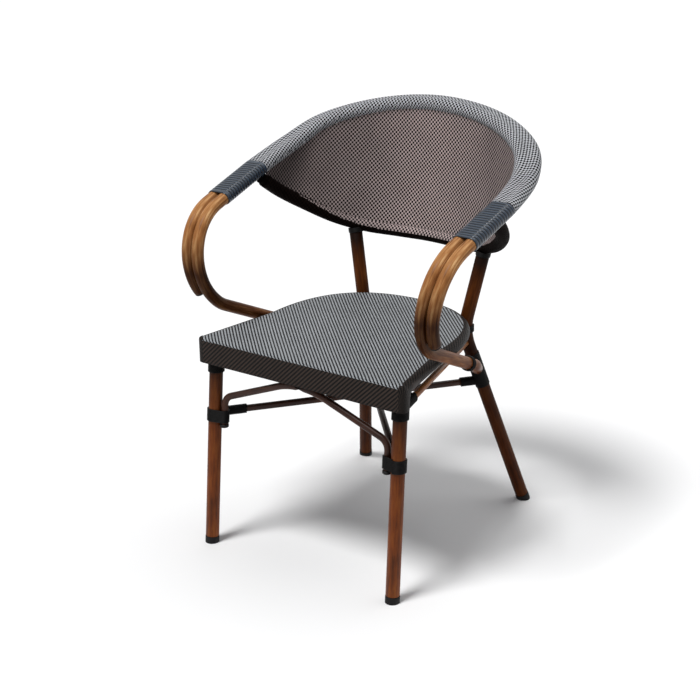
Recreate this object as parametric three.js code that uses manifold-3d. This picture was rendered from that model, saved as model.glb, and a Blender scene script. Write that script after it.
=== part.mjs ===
// A bistro armchair: bent tubes with a rattan look, lashed with black cord at the joints,
// carrying a stretched woven seat and a wrap-round woven back.
// Millimetres, +Z up. The sitter faces -Y, x is zero on the middle plane, and the floor is z = 0.
// A side is +1 at the sitter's left hand (+X) and -1 at the other.
import * as THREE from 'three';
import { mergeVertices } from 'three/addons/utils/BufferGeometryUtils.js';
import Module from 'manifold-3d';

const wasm = await Module();
wasm.setup();

// Clearances
const gap = 0.3;            // between pieces that touch
const overrun = 40;         // how far a cutting tool runs past what it cuts
const pairGap = 0.5;        // between two tubes that run side by side
const jointGap = 1;         // between the ends of the arm tubes and those of the hoop

// Seat, measured over its cloth. It rises a little towards the back.
const seatHeight = 452;             // top of the rim at the front edge; rises and drops are measured from it
const seatRise = 0.02;              // of the seat for each millimetre towards the back
const seatOverhang = 2;             // front edge ahead of the front feet
const seatFrontHalfWidth = 249;
const seatRearHalfWidth = 214;      // where the sides turn into the round back
const seatSideDepth = 202;          // front edge to the start of the round back
const seatDepth = 442;
const seatCornerRadius = 18;
const seatInnerCornerRadius = 14;
const roundBackShare = 0.65;        // fullness of the round back, 0.55 being an ellipse
const seatClothThickness = 1.6;
const frontApronHeight = 54;        // cloth on the front edge
const sideApronHeight = 27;         // cloth on the sides and back
const cornerApronDepth = 30;        // how far the tall apron turns back round each front corner
const seatTubeWidth = 25;
const seatTubeHeight = 25;
const seatTubeRounding = 8;
const lowRailDiameter = 14;         // carries the lower edge of the front apron
const seatOutlineSteps = 9;
const edgeRoundingSteps = 1;
const bendStepAngle = 0.24;         // of a bent tube, in radians

// Legs
const legDiameter = 28;
const legWall = 1.5;
const frontFootHalfSpan = 225;
const frontTopHalfSpan = 221;
const rearFootHalfSpan = 211;
const rearFootSetback = 134;        // behind the knee
const kneeHalfSpan = 124.5;
const kneeInset = 22;               // ahead of the seat's rear edge
const kneeDrop = 36;
const kneeBendRadius = 130;
const rearTopHalfSpan = 162;
const legSides = 16;

// Glides under the feet
const glideRadius = 14.6;
const glideHeight = 14;
const glideStem = 18;
const glideSoleDepth = 6;           // below the leg's floor point, before the sole is cut level
const glideSoleRounding = 5;

// Braces under the seat
const braceDiameter = 14;
const braceSides = 8;
const braceOffset = 24.5;           // from the front leg's middle to the arch's end
const braceEndDrop = 190;           // lower end of the arch
const braceBendDrop = 129;          // where the arch leaves the leg
const braceEndBendRadius = 26;
const braceApexHalfFlat = 30;
const braceApexBendRadius = 150;
const braceApexAngle = 1.2;         // how far round below the low rail the arch touches it, in radians
const upperStretcher = { frontDrop: 166, rearDrop: 153 };       // from the right front leg
const lowerStretcher = { frontDrop: 174, rearDrop: 174 };       // from the left front leg
const sideTubeDrop = 61;

// Arms and back hoop
const railDiameter = 25;
const railWall = 1.5;
const railSides = 10;
const hoopSides = 8;
const armHalfSpan = 277.8;          // inner arm tube at its joint with the hoop
const armJointDepth = 197;          // behind the front feet
const armJointRise = 268;
const armFrontCorner = { inset: 6.8, depth: -67, rise: 192 };
const armLowCorner = { inset: 28.8, depth: 77.5, rise: 46 };
const armUnderCorner = { inset: 55.8, depth: 300, rise: -56 };
const armFootDrop = 126;            // where the inner arm tube meets the rear leg
const armFrontBendRadius = 110;
const armLowBendRadius = 90;
const armUnderBendRadius = 80;
const armOuterLength = 301;         // outer arm tube, from the joint to its plug
const spigotLength = 60;
const plugHead = 4;
const plugStem = 14;

// Top hoop and bottom rail of the back. Each point has shares of the arms' half span, of the hoop's depth
// behind the front feet and of its rise.
const hoopStraight = 69;            // straight run behind the joint
const hoopSetback = 98;             // of its middle, behind the knees
const hoopRise = 411;
const hoopPointShares = [
  { span: 1.0115, depth: 0.7112, rise: 0.781 },
  { span: 0.8783, depth: 0.8469, rise: 0.8747 },
  { span: 0.504, depth: 0.968, rise: 0.9611 },
  { span: 0, depth: 1, rise: 1 },
];
const hoopSteps = 26;               // between the windings
const bottomRailPointShares = [
  { span: 1.0007, depth: 0.5, rise: 0.6472 },
  { span: 0.9611, depth: 0.593, rise: 0.562 },
  { span: 0.8603, depth: 0.7016, rise: 0.472 },
  { span: 0.7055, depth: 0.7926, rise: 0.3942 },
  { span: 0.504, depth: 0.8605, rise: 0.3504 },
  { span: 0.2592, depth: 0.905, rise: 0.337 },
  { span: 0, depth: 0.9196, rise: 0.3358 },
];
const bottomRailSteps = 18;         // within its cloth
const bottomRailBareEnd = 8;        // beyond the cloth at each end

// Cloth of the back
const backClothThickness = 1.1;
const coverEase = 0.4;              // slack of the cloth round its tubes
const coverArcSteps = 4;
const panelColumns = 24;
const panelRows = 2;
const panelForward = 6;             // the panel hangs this far to the sitter's side of the tubes
const panelHoopShare = 0.068;       // share of the hoop, at each end, that is too narrow for the panel
const panelRailShare = 0.03;        // the same of the bottom rail

// Cord windings
const windingLength = 138;
const windingStart = 69.5;          // from the joint to the front end of the winding
const windingTurns = 16;
const strandWidthShare = 0.84;      // of the pitch
const strandCrownShare = 0.6;       // width of the strand's crown, as a share of its own
const strandThickness = 1.6;
const windingEase = 0.35;           // slack of the winding round the tubes
const windingArcSteps = 4;

// Lashings
const lashingThickness = 3;
const rearLashingThickness = 1.6;   // on the rear legs
const frontCollarHeight = 29;
const frontCollarDrop = 184;        // to its lower end
const rearCollarDrop = 88;          // to its upper end
const rearCollarMargin = 6;         // below the stretcher that it holds
const legTopWrapHeight = 26;
const kneeWrapHeight = 17;
const kneeWrapDrop = 39;            // to its lower end
const backWrapHeight = 8;
const stretcherWrapLength = { front: 52, rear: 34 };
const socketLength = 58;
const armWrapLength = 14;
const armWrapSetback = 32;          // from the arm's last corner to its wrap
const braceCapLength = 7;
const braceCapWall = 2;
const lashingSides = 12;
const clearingSides = 12;
const lashingRounding = 1.4;
const collarArcSteps = 3;

// Derived sizes
const legRadius = legDiameter / 2;
const railRadius = railDiameter / 2;
const braceRadius = braceDiameter / 2;
const lowRailRadius = lowRailDiameter / 2;
const seatFront = -seatOverhang;
const seatFrameTop = seatHeight - seatClothThickness - gap;
const seatFrameBottom = seatFrameTop - seatTubeHeight;   // both at the front edge
const apronBottom = seatHeight - frontApronHeight;
const kneeHeight = seatHeight - kneeDrop;
const kneeDepth = seatFront + seatDepth - kneeInset;
const rearFootDepth = kneeDepth + rearFootSetback;
const hoopDepth = kneeDepth + hoopSetback;
const braceEndHeight = seatHeight - braceEndDrop;
const braceBendHeight = seatHeight - braceBendDrop;
const sideTubeHeight = seatHeight - sideTubeDrop;
const armFootHeight = seatHeight - armFootDrop;
const frontCollarBottom = seatHeight - frontCollarDrop;
const rearCollarTop = seatHeight - rearCollarDrop;
const kneeWrapBottom = seatHeight - kneeWrapDrop;
const lowRailDepth = seatFront + seatClothThickness + gap + lowRailRadius;
const lowRailHeight = apronBottom + gap + lowRailRadius;
const frontTopDepth = lowRailDepth + lowRailRadius + gap + legRadius;
const pairPitch = railDiameter + pairGap;
const hoopCoverInner = (railRadius + coverEase / 2) / Math.cos(Math.PI / (2 * coverArcSteps));
const hoopCoverOuter = hoopCoverInner + backClothThickness;
const bottomCoverInner = railRadius + coverEase;
const bottomCoverOuter = bottomCoverInner + backClothThickness;

// Finishes
const finishes = {
  armTube: { color: 0xb06a32, roughness: 0.32, metalness: 0 },
  legTube: { color: 0x7a3d1e, roughness: 0.36, metalness: 0 },
  braceTube: { color: 0x52301f, roughness: 0.4, metalness: 0 },
  bareTube: { color: 0x9c9c9a, roughness: 0.45, metalness: 0.8 },
  sideTube: { color: 0xa8662e, roughness: 0.35, metalness: 0 },
  lashing: { color: 0x1c1b1c, roughness: 0.5, metalness: 0 },
  winding: { color: 0x2f3a44, roughness: 0.3, metalness: 0 },
  glide: { color: 0x121212, roughness: 0.6, metalness: 0 },
  seatCloth: { color: 0x54534f, roughness: 0.8, metalness: 0 },
  railCloth: { color: 0x66635e, roughness: 0.8, metalness: 0 },
  backCloth: { color: 0x5d4c48, roughness: 0.8, metalness: 0 },
};

// Points and directions

function point(side, place) {
  return new THREE.Vector3(side * place.halfSpan, place.depth, seatHeight + place.rise);
}

// The points of a line of the back on the +X side, from its table of shares.
function sharedPoints(table) {
  return table.map((share) => point(1, {
    halfSpan: armHalfSpan * share.span,
    depth: hoopDepth * share.depth,
    rise: hoopRise * share.rise,
  }));
}

function between(start, end, share) {
  return new THREE.Vector3().lerpVectors(start, end, share);
}

function atHeight(start, end, height) {
  return between(start, end, (height - start.z) / (end.z - start.z));
}

function along(start, end, distance) {
  const direction = new THREE.Vector3().subVectors(end, start).normalize();
  return start.clone().addScaledVector(direction, distance);
}

// A centreline as a tube bender makes it: straight runs joined by round bends.
class BentLine extends THREE.Curve {
  constructor(corners, bendRadii) {
    super();
    this.pieces = [];
    let from = corners[0];
    for (let index = 1; index < corners.length - 1; index += 1) {
      const bend = this.bend(corners[index - 1], corners[index], corners[index + 1], bendRadii[index - 1]);
      this.addStraight(from, bend.start);
      this.pieces.push(bend);
      from = bend.end;
    }
    this.addStraight(from, corners[corners.length - 1]);
    this.total = this.pieces.reduce((sum, piece) => sum + piece.length, 0);
  }

  addStraight(start, end) {
    const at = (share) => between(start, end, share);
    this.pieces.push({ length: start.distanceTo(end), at });
  }

  bend(before, corner, after, radius) {
    const back = new THREE.Vector3().subVectors(before, corner).normalize();
    const ahead = new THREE.Vector3().subVectors(after, corner).normalize();
    const opening = back.angleTo(ahead);
    const reach = radius / Math.tan(opening / 2);
    const start = corner.clone().addScaledVector(back, reach);
    const end = corner.clone().addScaledVector(ahead, reach);
    const inward = new THREE.Vector3().addVectors(back, ahead).normalize();
    const centre = corner.clone().addScaledVector(inward, radius / Math.sin(opening / 2));
    const first = new THREE.Vector3().subVectors(start, centre).normalize();
    const turn = Math.PI - opening;
    const at = (share) => {
      const angle = turn * share;
      return centre.clone()
        .addScaledVector(first, radius * Math.cos(angle))
        .addScaledVector(back, -radius * Math.sin(angle));
    };
    return { length: radius * turn, turn, at, start, end };
  }

  // Shares of the line at its ends and at even steps round each bend, up to a limit.
  stations(limit = 1) {
    const shares = [0];
    let done = 0;
    for (const part of this.pieces) {
      const steps = part.turn ? Math.ceil(part.turn / bendStepAngle) : 1;
      for (let step = 1; step <= steps; step += 1) {
        const share = (done + (part.length * step) / steps) / this.total;
        if (share < limit) shares.push(share);
      }
      done += part.length;
    }
    shares.push(limit);
    return shares;
  }

  getPointAt(share) {
    return this.getPoint(share);
  }

  getTangentAt(share) {
    return this.getTangent(share);
  }

  getPoint(share) {
    let distance = THREE.MathUtils.clamp(share, 0, 1) * this.total;
    for (const piece of this.pieces) {
      if (distance <= piece.length) return piece.at(distance / piece.length);
      distance -= piece.length;
    }
    const last = this.pieces[this.pieces.length - 1];
    return last.at(1);
  }
}

// A curve whose even steps fall on chosen shares of another curve.
class Stations extends THREE.Curve {
  constructor(curve, shares) {
    super();
    this.curve = curve;
    this.shares = shares;
  }

  share(part) {
    const place = THREE.MathUtils.clamp(part, 0, 1) * (this.shares.length - 1);
    const first = Math.min(Math.floor(place), this.shares.length - 2);
    return THREE.MathUtils.lerp(this.shares[first], this.shares[first + 1], place - first);
  }

  getPoint(part) {
    return this.curve.getPointAt(this.share(part));
  }

  getPointAt(part) {
    return this.curve.getPointAt(this.share(part));
  }

  getTangentAt(part) {
    return this.curve.getTangentAt(this.share(part));
  }
}

function evenShares(from, to, steps) {
  return Array.from({ length: steps + 1 }, (unused, step) => from + ((to - from) * step) / steps);
}

// The share at which a curve that only climbs reaches a height.
function shareAtHeight(curve, height) {
  let low = 0;
  let high = 1;
  for (let pass = 0; pass < 30; pass += 1) {
    const middle = (low + high) / 2;
    if (curve.getPointAt(middle).z < height) low = middle;
    else high = middle;
  }
  return low;
}

// The level direction across a curve, away from the sitter.
function outwardAt(curve, share) {
  const tangent = curve.getTangentAt(share);
  return new THREE.Vector3(tangent.y, -tangent.x, 0).normalize();
}

// A curve that runs beside another one at the same height.
class Beside extends THREE.Curve {
  constructor(curve, offset) {
    super();
    this.curve = curve;
    this.offset = offset;
  }

  getPoint(share) {
    return this.getPointAt(share);
  }

  getPointAt(share) {
    const outward = outwardAt(this.curve, share);
    return this.curve.getPointAt(share).addScaledVector(outward, this.offset);
  }

  getTangentAt(share) {
    return this.curve.getTangentAt(share);
  }
}

// Solids

function circleShape(radius, sides) {
  const points = [];
  for (let index = 0; index < sides; index += 1) {
    const angle = (index / sides) * 2 * Math.PI;
    points.push(new THREE.Vector2(radius * Math.cos(angle), radius * Math.sin(angle)));
  }
  return new THREE.Shape(points);
}

function extrudeAlong(shape, curve, shares) {
  const extrudePath = new Stations(curve, shares);
  return new THREE.ExtrudeGeometry(shape, { steps: shares.length - 1, bevelEnabled: false, extrudePath });
}

function tubeAlong(curve, radius, sides, shares) {
  return extrudeAlong(circleShape(radius, sides), curve, shares);
}

function sleeveAlong(curve, outer, inner, sides, shares) {
  const shape = circleShape(outer, sides);
  shape.holes.push(circleShape(inner, sides));
  return extrudeAlong(shape, curve, shares);
}

// Turns a geometry made along +Y so that it starts at a point and runs in a direction.
function standAt(geometry, start, direction) {
  const turn = new THREE.Quaternion().setFromUnitVectors(new THREE.Vector3(0, 1, 0), direction);
  return geometry.applyQuaternion(turn).translate(start.x, start.y, start.z);
}

function directionTo(start, end) {
  return new THREE.Vector3().subVectors(end, start).normalize();
}

function rod(start, end, radius, sides) {
  const length = start.distanceTo(end);
  const geometry = new THREE.CylinderGeometry(radius, radius, length, sides).translate(0, length / 2, 0);
  return standAt(geometry, start, directionTo(start, end));
}

// A rod that cuts clear of a round bar of the given radius.
function clearingRod(start, end, radius) {
  const across = (radius + gap) / Math.cos(Math.PI / clearingSides);
  return rod(along(start, end, -overrun), along(end, start, -overrun), across, clearingSides);
}

// A band round a bar, with softened outer edges.
function band(start, direction, inner, thickness, length) {
  const outer = inner + thickness;
  const profile = [
    new THREE.Vector2(inner, 0),
    new THREE.Vector2(outer - lashingRounding, 0),
    new THREE.Vector2(outer, lashingRounding),
    new THREE.Vector2(outer, length - lashingRounding),
    new THREE.Vector2(outer - lashingRounding, length),
    new THREE.Vector2(inner, length),
    new THREE.Vector2(inner, 0),
  ];
  return standAt(new THREE.LatheGeometry(profile, lashingSides), start, direction);
}

function block(low, high) {
  const size = new THREE.Vector3().subVectors(high, low);
  const middle = between(low, high, 0.5);
  return new THREE.BoxGeometry(size.x, size.y, size.z).translate(middle.x, middle.y, middle.z);
}

function solidOf(geometry) {
  const bare = geometry.clone();
  bare.deleteAttribute('normal');
  bare.deleteAttribute('uv');
  const merged = mergeVertices(bare, 1e-4);
  const vertProperties = new Float32Array(merged.attributes.position.array);
  const triVerts = new Uint32Array(merged.index.array);
  return new wasm.Manifold(new wasm.Mesh({ numProp: 3, vertProperties, triVerts }));
}

function geometryOf(solid) {
  const mesh = solid.getMesh();
  const geometry = new THREE.BufferGeometry();
  geometry.setAttribute('position', new THREE.BufferAttribute(new Float32Array(mesh.vertProperties), 3));
  geometry.setIndex(new THREE.BufferAttribute(new Uint32Array(mesh.triVerts), 1));
  geometry.computeVertexNormals();
  return geometry;
}

function cut(geometry, tools) {
  let solid = solidOf(geometry);
  for (const tool of tools) solid = solid.subtract(solidOf(tool));
  return geometryOf(solid);
}

// A closed solid from rings of equally many points, one ring after another.
function loft(rings) {
  const count = rings[0].length;
  const positions = rings.flat().flatMap((place) => [place.x, place.y, place.z]);
  const faces = [];
  for (let ring = 0; ring < rings.length - 1; ring += 1) {
    for (let index = 0; index < count; index += 1) {
      const here = ring * count + index;
      const next = ring * count + ((index + 1) % count);
      faces.push(here, next, next + count, here, next + count, here + count);
    }
  }
  const last = (rings.length - 1) * count;
  for (let index = 1; index < count - 1; index += 1) {
    faces.push(0, index + 1, index);
    faces.push(last, last + index, last + index + 1);
  }
  const geometry = new THREE.BufferGeometry();
  geometry.setAttribute('position', new THREE.Float32BufferAttribute(positions, 3));
  geometry.setIndex(faces);
  if (volumeOf(geometry) < 0) geometry.setIndex(faces.reverse());
  geometry.computeVertexNormals();
  return geometry;
}

function volumeOf(geometry) {
  const index = geometry.index.array;
  const corners = [new THREE.Vector3(), new THREE.Vector3(), new THREE.Vector3()];
  let volume = 0;
  for (let face = 0; face < index.length; face += 3) {
    corners.forEach((corner, turn) => corner.fromBufferAttribute(geometry.attributes.position, index[face + turn]));
    volume += corners[0].dot(corners[1].clone().cross(corners[2])) / 6;
  }
  return volume;
}

function piece(name, geometry, finish) {
  const mesh = new THREE.Mesh(geometry, new THREE.MeshStandardMaterial(finish));
  mesh.name = name;
  return mesh;
}

function sideName(side) {
  return side > 0 ? 'left' : 'right';
}

// Seat outline: straight front, slightly tapering sides and a round back, drawn in from the edge by an inset.
function seatOutline(inset) {
  const front = seatFront + inset;
  const back = seatFront + seatDepth - inset;
  const turn = seatFront + seatSideDepth;
  const frontWidth = seatFrontHalfWidth - inset;
  const rearWidth = seatRearHalfWidth - inset;
  const corner = Math.max(seatCornerRadius - inset, seatInnerCornerRadius);
  const cornerWidth = frontWidth + ((rearWidth - frontWidth) * corner) / (turn - front);
  const fullWidth = rearWidth * roundBackShare;
  const fullDepth = turn + (back - turn) * roundBackShare;
  const shape = new THREE.Shape();
  shape.moveTo(-frontWidth + corner, front);
  shape.lineTo(frontWidth - corner, front);
  shape.quadraticCurveTo(frontWidth, front, cornerWidth, front + corner);
  shape.lineTo(rearWidth, turn);
  shape.bezierCurveTo(rearWidth, fullDepth, fullWidth, back, 0, back);
  shape.bezierCurveTo(-fullWidth, back, -rearWidth, fullDepth, -rearWidth, turn);
  shape.lineTo(-cornerWidth, front + corner);
  shape.quadraticCurveTo(-frontWidth, front, -frontWidth + corner, front);
  return shape;
}

function roundedBlock(shape, bottom, top, rounding) {
  const geometry = new THREE.ExtrudeGeometry(shape, {
    depth: top - bottom - 2 * rounding,
    curveSegments: seatOutlineSteps,
    bevelThickness: rounding,
    bevelSize: rounding,
    bevelOffset: -rounding,
    bevelSegments: edgeRoundingSteps,
  });
  return geometry.translate(0, 0, bottom + rounding);
}

// Tips a piece that was made level so that it rises with the seat.
function raised(geometry) {
  return geometry.translate(0, -lowRailDepth, -lowRailHeight)
    .rotateX(Math.atan(seatRise))
    .translate(0, lowRailDepth, lowRailHeight);
}

// Middle lines of the legs

function frontLegLine(side) {
  const foot = new THREE.Vector3(side * frontFootHalfSpan, 0, 0);
  const low = new THREE.Vector3(side * frontTopHalfSpan, frontTopDepth, lowRailHeight);
  const top = atHeight(foot, low, seatFrameBottom - gap);
  return { foot, top };
}

function rearLegLine(side) {
  const foot = new THREE.Vector3(side * rearFootHalfSpan, rearFootDepth, 0);
  const knee = new THREE.Vector3(side * kneeHalfSpan, kneeDepth, kneeHeight);
  const top = bottomRailAt(side * rearTopHalfSpan);
  return { foot, knee, top };
}

// Middle lines of the arms and the back

function armCorners(side) {
  const joint = { inset: 0, depth: armJointDepth, rise: armJointRise };
  const places = [joint, armFrontCorner, armLowCorner, armUnderCorner];
  const corners = places.map((place) => point(side, { ...place, halfSpan: armHalfSpan - place.inset }));
  const leg = rearLegLine(side);
  return [...corners, atHeight(leg.foot, leg.knee, armFootHeight)];
}

function armInnerLine(side) {
  return new BentLine(armCorners(side), [armFrontBendRadius, armLowBendRadius, armUnderBendRadius]);
}

function armOuterLine(side) {
  const corners = armCorners(side).map((corner) => corner.add(new THREE.Vector3(side * pairPitch, 0, 0)));
  return new BentLine(corners, [armFrontBendRadius, armLowBendRadius, armUnderBendRadius]);
}

function armOuterEnd(side) {
  const line = armOuterLine(side);
  const share = armOuterLength / line.total;
  return { share, place: line.getPointAt(share), direction: line.getTangentAt(share) };
}

function pairJoint(side) {
  return armCorners(side)[0].add(new THREE.Vector3((side * pairPitch) / 2, 0, 0));
}

function pairDirection(side) {
  const [joint, front] = armCorners(side);
  return directionTo(front, joint);
}

function mirrored(points) {
  const others = points.slice(0, -1).reverse();
  return [...points, ...others.map((place) => new THREE.Vector3(-place.x, place.y, place.z))];
}

const bottomRailLine = new THREE.CatmullRomCurve3(mirrored(sharedPoints(bottomRailPointShares)));
bottomRailLine.arcLengthDivisions = 800;
const bottomCoverShare = bottomRailBareEnd / bottomRailLine.getLength();
const bottomCoverShares = evenShares(bottomCoverShare, 1 - bottomCoverShare, bottomRailSteps);
const bottomRailShares = [0, ...bottomCoverShares, 1];
const straightShares = [0, 0.5, 0.83, 1];
const hoopStart = pairJoint(1);
const hoopDirection = pairDirection(1);
const hoopLine = new THREE.CatmullRomCurve3(mirrored([
  ...straightShares.map((share) => hoopStart.clone().addScaledVector(hoopDirection, hoopStraight * share)),
  ...sharedPoints(hoopPointShares),
]));
hoopLine.arcLengthDivisions = 800;
const hoopCoverShare = (windingLength - windingStart + 2 * gap) / hoopLine.getLength();
const hoopCoverShares = evenShares(hoopCoverShare, 1 - hoopCoverShare, hoopSteps);
const hoopShares = [0, ...hoopCoverShares, 1];

function bottomRailAt(span) {
  let low = 0;
  let high = 1;
  for (let pass = 0; pass < 30; pass += 1) {
    const middle = (low + high) / 2;
    if (bottomRailLine.getPoint(middle).x > span) low = middle;
    else high = middle;
  }
  return bottomRailLine.getPoint(low);
}

// Seat

function seatFrame() {
  const inset = seatClothThickness + gap;
  const shape = seatOutline(inset);
  shape.holes.push(seatOutline(inset + seatTubeWidth));
  return raised(roundedBlock(shape, seatFrameBottom, seatFrameTop, seatTubeRounding));
}

function lowRail() {
  const reach = seatFrontHalfWidth - seatCornerRadius - lowRailRadius;
  const start = new THREE.Vector3(-reach, lowRailDepth, lowRailHeight);
  const end = new THREE.Vector3(reach, lowRailDepth, lowRailHeight);
  const legs = [1, -1].map((side) => frontLegLine(side));
  return cut(rod(start, end, lowRailRadius, braceSides), legs.map((leg) => clearingRod(leg.foot, leg.top, legRadius)));
}

// The cloth is stretched over the top of the frame and turned down over its sides, deeper in front.
function seatCloth() {
  const rounding = seatTubeRounding + seatClothThickness;
  const outside = roundedBlock(seatOutline(0), apronBottom - overrun, seatHeight, rounding);
  const inside = roundedBlock(
    seatOutline(seatClothThickness),
    apronBottom - 2 * overrun,
    seatHeight - seatClothThickness,
    seatTubeRounding,
  );
  const reach = seatFrontHalfWidth + overrun;
  const floor = apronBottom - 3 * overrun;
  const far = seatFront + seatDepth + overrun;
  const below = block(
    new THREE.Vector3(-reach, seatFront - overrun, floor),
    new THREE.Vector3(reach, far, apronBottom),
  );
  const sides = block(
    new THREE.Vector3(-reach, seatFront + cornerApronDepth, floor),
    new THREE.Vector3(reach, far, seatHeight - sideApronHeight),
  );
  return raised(cut(outside, [inside, below, sides]));
}

// Legs

function glide(start, direction) {
  const stemRadius = legRadius - legWall - gap;
  const sole = glideRadius - glideSoleRounding;
  const profile = [
    new THREE.Vector2(0, -glideSoleDepth),
    new THREE.Vector2(sole, -glideSoleDepth),
    new THREE.Vector2(glideRadius, glideSoleRounding - glideSoleDepth),
    new THREE.Vector2(glideRadius, glideHeight - gap),
    new THREE.Vector2(stemRadius, glideHeight - gap),
    new THREE.Vector2(stemRadius, glideHeight + glideStem),
    new THREE.Vector2(0, glideHeight + glideStem),
  ];
  const whole = standAt(new THREE.LatheGeometry(profile, lashingSides), start, direction);
  const reach = glideRadius + overrun;
  const floor = block(
    new THREE.Vector3(start.x - reach, start.y - reach, -overrun),
    new THREE.Vector3(start.x + reach, start.y + reach, 0),
  );
  return cut(whole, [floor]);
}

function stemBore(foot, direction) {
  const start = foot.clone().addScaledVector(direction, glideHeight - overrun);
  const end = foot.clone().addScaledVector(direction, glideHeight + glideStem + gap);
  return rod(start, end, (legRadius - legWall) / Math.cos(Math.PI / clearingSides), clearingSides);
}

function frontLeg(side) {
  const leg = frontLegLine(side);
  const direction = directionTo(leg.foot, leg.top);
  const start = leg.foot.clone().addScaledVector(direction, glideHeight);
  const bar = rod(start, along(leg.top, leg.foot, -overrun), legRadius, legSides);
  return cut(bar, [stemBore(leg.foot, direction), aboveLevel(seatFrameBottom - gap)]);
}

function bottomRailClearing(radius) {
  const across = (radius + gap) / Math.cos(Math.PI / clearingSides);
  return tubeAlong(bottomRailLine, across, clearingSides, bottomRailShares);
}

function rearLeg(side) {
  const leg = rearLegLine(side);
  const direction = directionTo(leg.foot, leg.knee);
  const start = leg.foot.clone().addScaledVector(direction, glideHeight);
  const line = new BentLine([start, leg.knee, leg.top], [kneeBendRadius]);
  const bar = tubeAlong(line, legRadius, legSides, line.stations());
  return cut(bar, [stemBore(leg.foot, direction), bottomRailClearing(railRadius)]);
}

// Braces

function braceBeside(side, height) {
  const leg = frontLegLine(side);
  const middle = atHeight(leg.foot, leg.top, height);
  middle.x -= side * braceOffset;
  return middle;
}

function archBrace() {
  const touch = lowRailRadius + gap + braceRadius;
  const apexDepth = lowRailDepth + touch * Math.cos(braceApexAngle);
  const apexHeight = lowRailHeight - touch * Math.sin(braceApexAngle);
  const apex = (side) => new THREE.Vector3(side * braceApexHalfFlat, apexDepth, apexHeight);
  const corners = [
    braceBeside(1, braceEndHeight),
    braceBeside(1, braceBendHeight),
    apex(1),
    apex(-1),
    braceBeside(-1, braceBendHeight),
    braceBeside(-1, braceEndHeight),
  ];
  const radii = [braceEndBendRadius, braceApexBendRadius, braceApexBendRadius, braceEndBendRadius];
  const line = new BentLine(corners, radii);
  return tubeAlong(line, braceRadius, braceSides, line.stations());
}

function braceCap(side) {
  const end = braceBeside(side, braceEndHeight);
  const direction = directionTo(end, braceBeside(side, braceBendHeight));
  const inner = (braceRadius + gap) / Math.cos(Math.PI / lashingSides);
  const outer = inner + braceCapWall;
  const floor = -gap - braceCapWall;
  const profile = [
    new THREE.Vector2(0, floor),
    new THREE.Vector2(outer - lashingRounding, floor),
    new THREE.Vector2(outer, floor + lashingRounding),
    new THREE.Vector2(outer, floor + braceCapLength),
    new THREE.Vector2(inner, floor + braceCapLength),
    new THREE.Vector2(inner, -gap),
    new THREE.Vector2(0, -gap),
  ];
  const leg = frontLegLine(side);
  const cap = standAt(new THREE.LatheGeometry(profile, lashingSides), end, direction);
  return cut(cap, [clearingRod(leg.foot, leg.top, legRadius)]);
}

// The two stretchers cross in the middle, one resting on the other. The side is that of the front leg.
function stretcherLine(side) {
  const front = frontLegLine(side);
  const rear = rearLegLine(-side);
  const drops = side > 0 ? lowerStretcher : upperStretcher;
  return {
    start: atHeight(front.foot, front.top, seatHeight - drops.frontDrop),
    end: atHeight(rear.foot, rear.knee, seatHeight - drops.rearDrop),
  };
}

function stretcher(side) {
  const line = stretcherLine(side);
  const front = frontLegLine(side);
  const rear = rearLegLine(-side);
  return cut(rod(line.start, line.end, braceRadius, braceSides), [
    clearingRod(front.foot, front.top, legRadius),
    clearingRod(rear.foot, rear.knee, legRadius),
  ]);
}

function sideTubeLine(side) {
  const front = frontLegLine(side);
  const rear = rearLegLine(side);
  return {
    start: atHeight(front.foot, front.top, sideTubeHeight),
    end: atHeight(rear.foot, rear.knee, sideTubeHeight),
  };
}

function sideTube(side) {
  const line = sideTubeLine(side);
  const front = frontLegLine(side);
  return cut(rod(line.start, line.end, braceRadius, braceSides), [
    clearingRod(front.foot, front.top, legRadius),
    rearLegClearing(side, legRadius),
  ]);
}

// Everything higher than the underside of the seat, with that underside's height at the front edge.
function aboveLevel(height) {
  const reach = seatFrontHalfWidth + overrun;
  return raised(block(
    new THREE.Vector3(-reach, seatFront - overrun, height),
    new THREE.Vector3(reach, rearFootDepth, height + 3 * overrun),
  ));
}

function rearLegClearing(side, radius) {
  const leg = rearLegLine(side);
  const line = new BentLine([leg.foot, leg.knee, leg.top], [kneeBendRadius]);
  return tubeAlong(line, (radius + gap) / Math.cos(Math.PI / legSides), legSides, line.stations());
}

// Arms

function spigotBore(start, direction) {
  const from = start.clone().addScaledVector(direction, -overrun);
  const to = start.clone().addScaledVector(direction, spigotLength / 2 + gap);
  return rod(from, to, (railRadius - railWall) / Math.cos(Math.PI / clearingSides), clearingSides);
}

function armInner(side) {
  const joint = armCorners(side)[0];
  const forward = pairDirection(side).negate();
  const line = armInnerLine(side);
  const tube = tubeAlong(line, railRadius, railSides, line.stations());
  return cut(tube, [spigotBore(joint, forward), rearLegClearing(side, legRadius)]);
}

function armOuter(side) {
  const joint = armCorners(side)[0].add(new THREE.Vector3(side * pairPitch, 0, 0));
  const forward = pairDirection(side).negate();
  const line = armOuterLine(side);
  const end = armOuterEnd(side);
  const tube = tubeAlong(line, railRadius, railSides, line.stations(end.share));
  const from = end.place.clone().addScaledVector(end.direction, overrun);
  const to = end.place.clone().addScaledVector(end.direction, -plugStem - gap);
  const bore = rod(from, to, (railRadius - railWall) / Math.cos(Math.PI / clearingSides), clearingSides);
  return cut(tube, [spigotBore(joint, forward), bore]);
}

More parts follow.
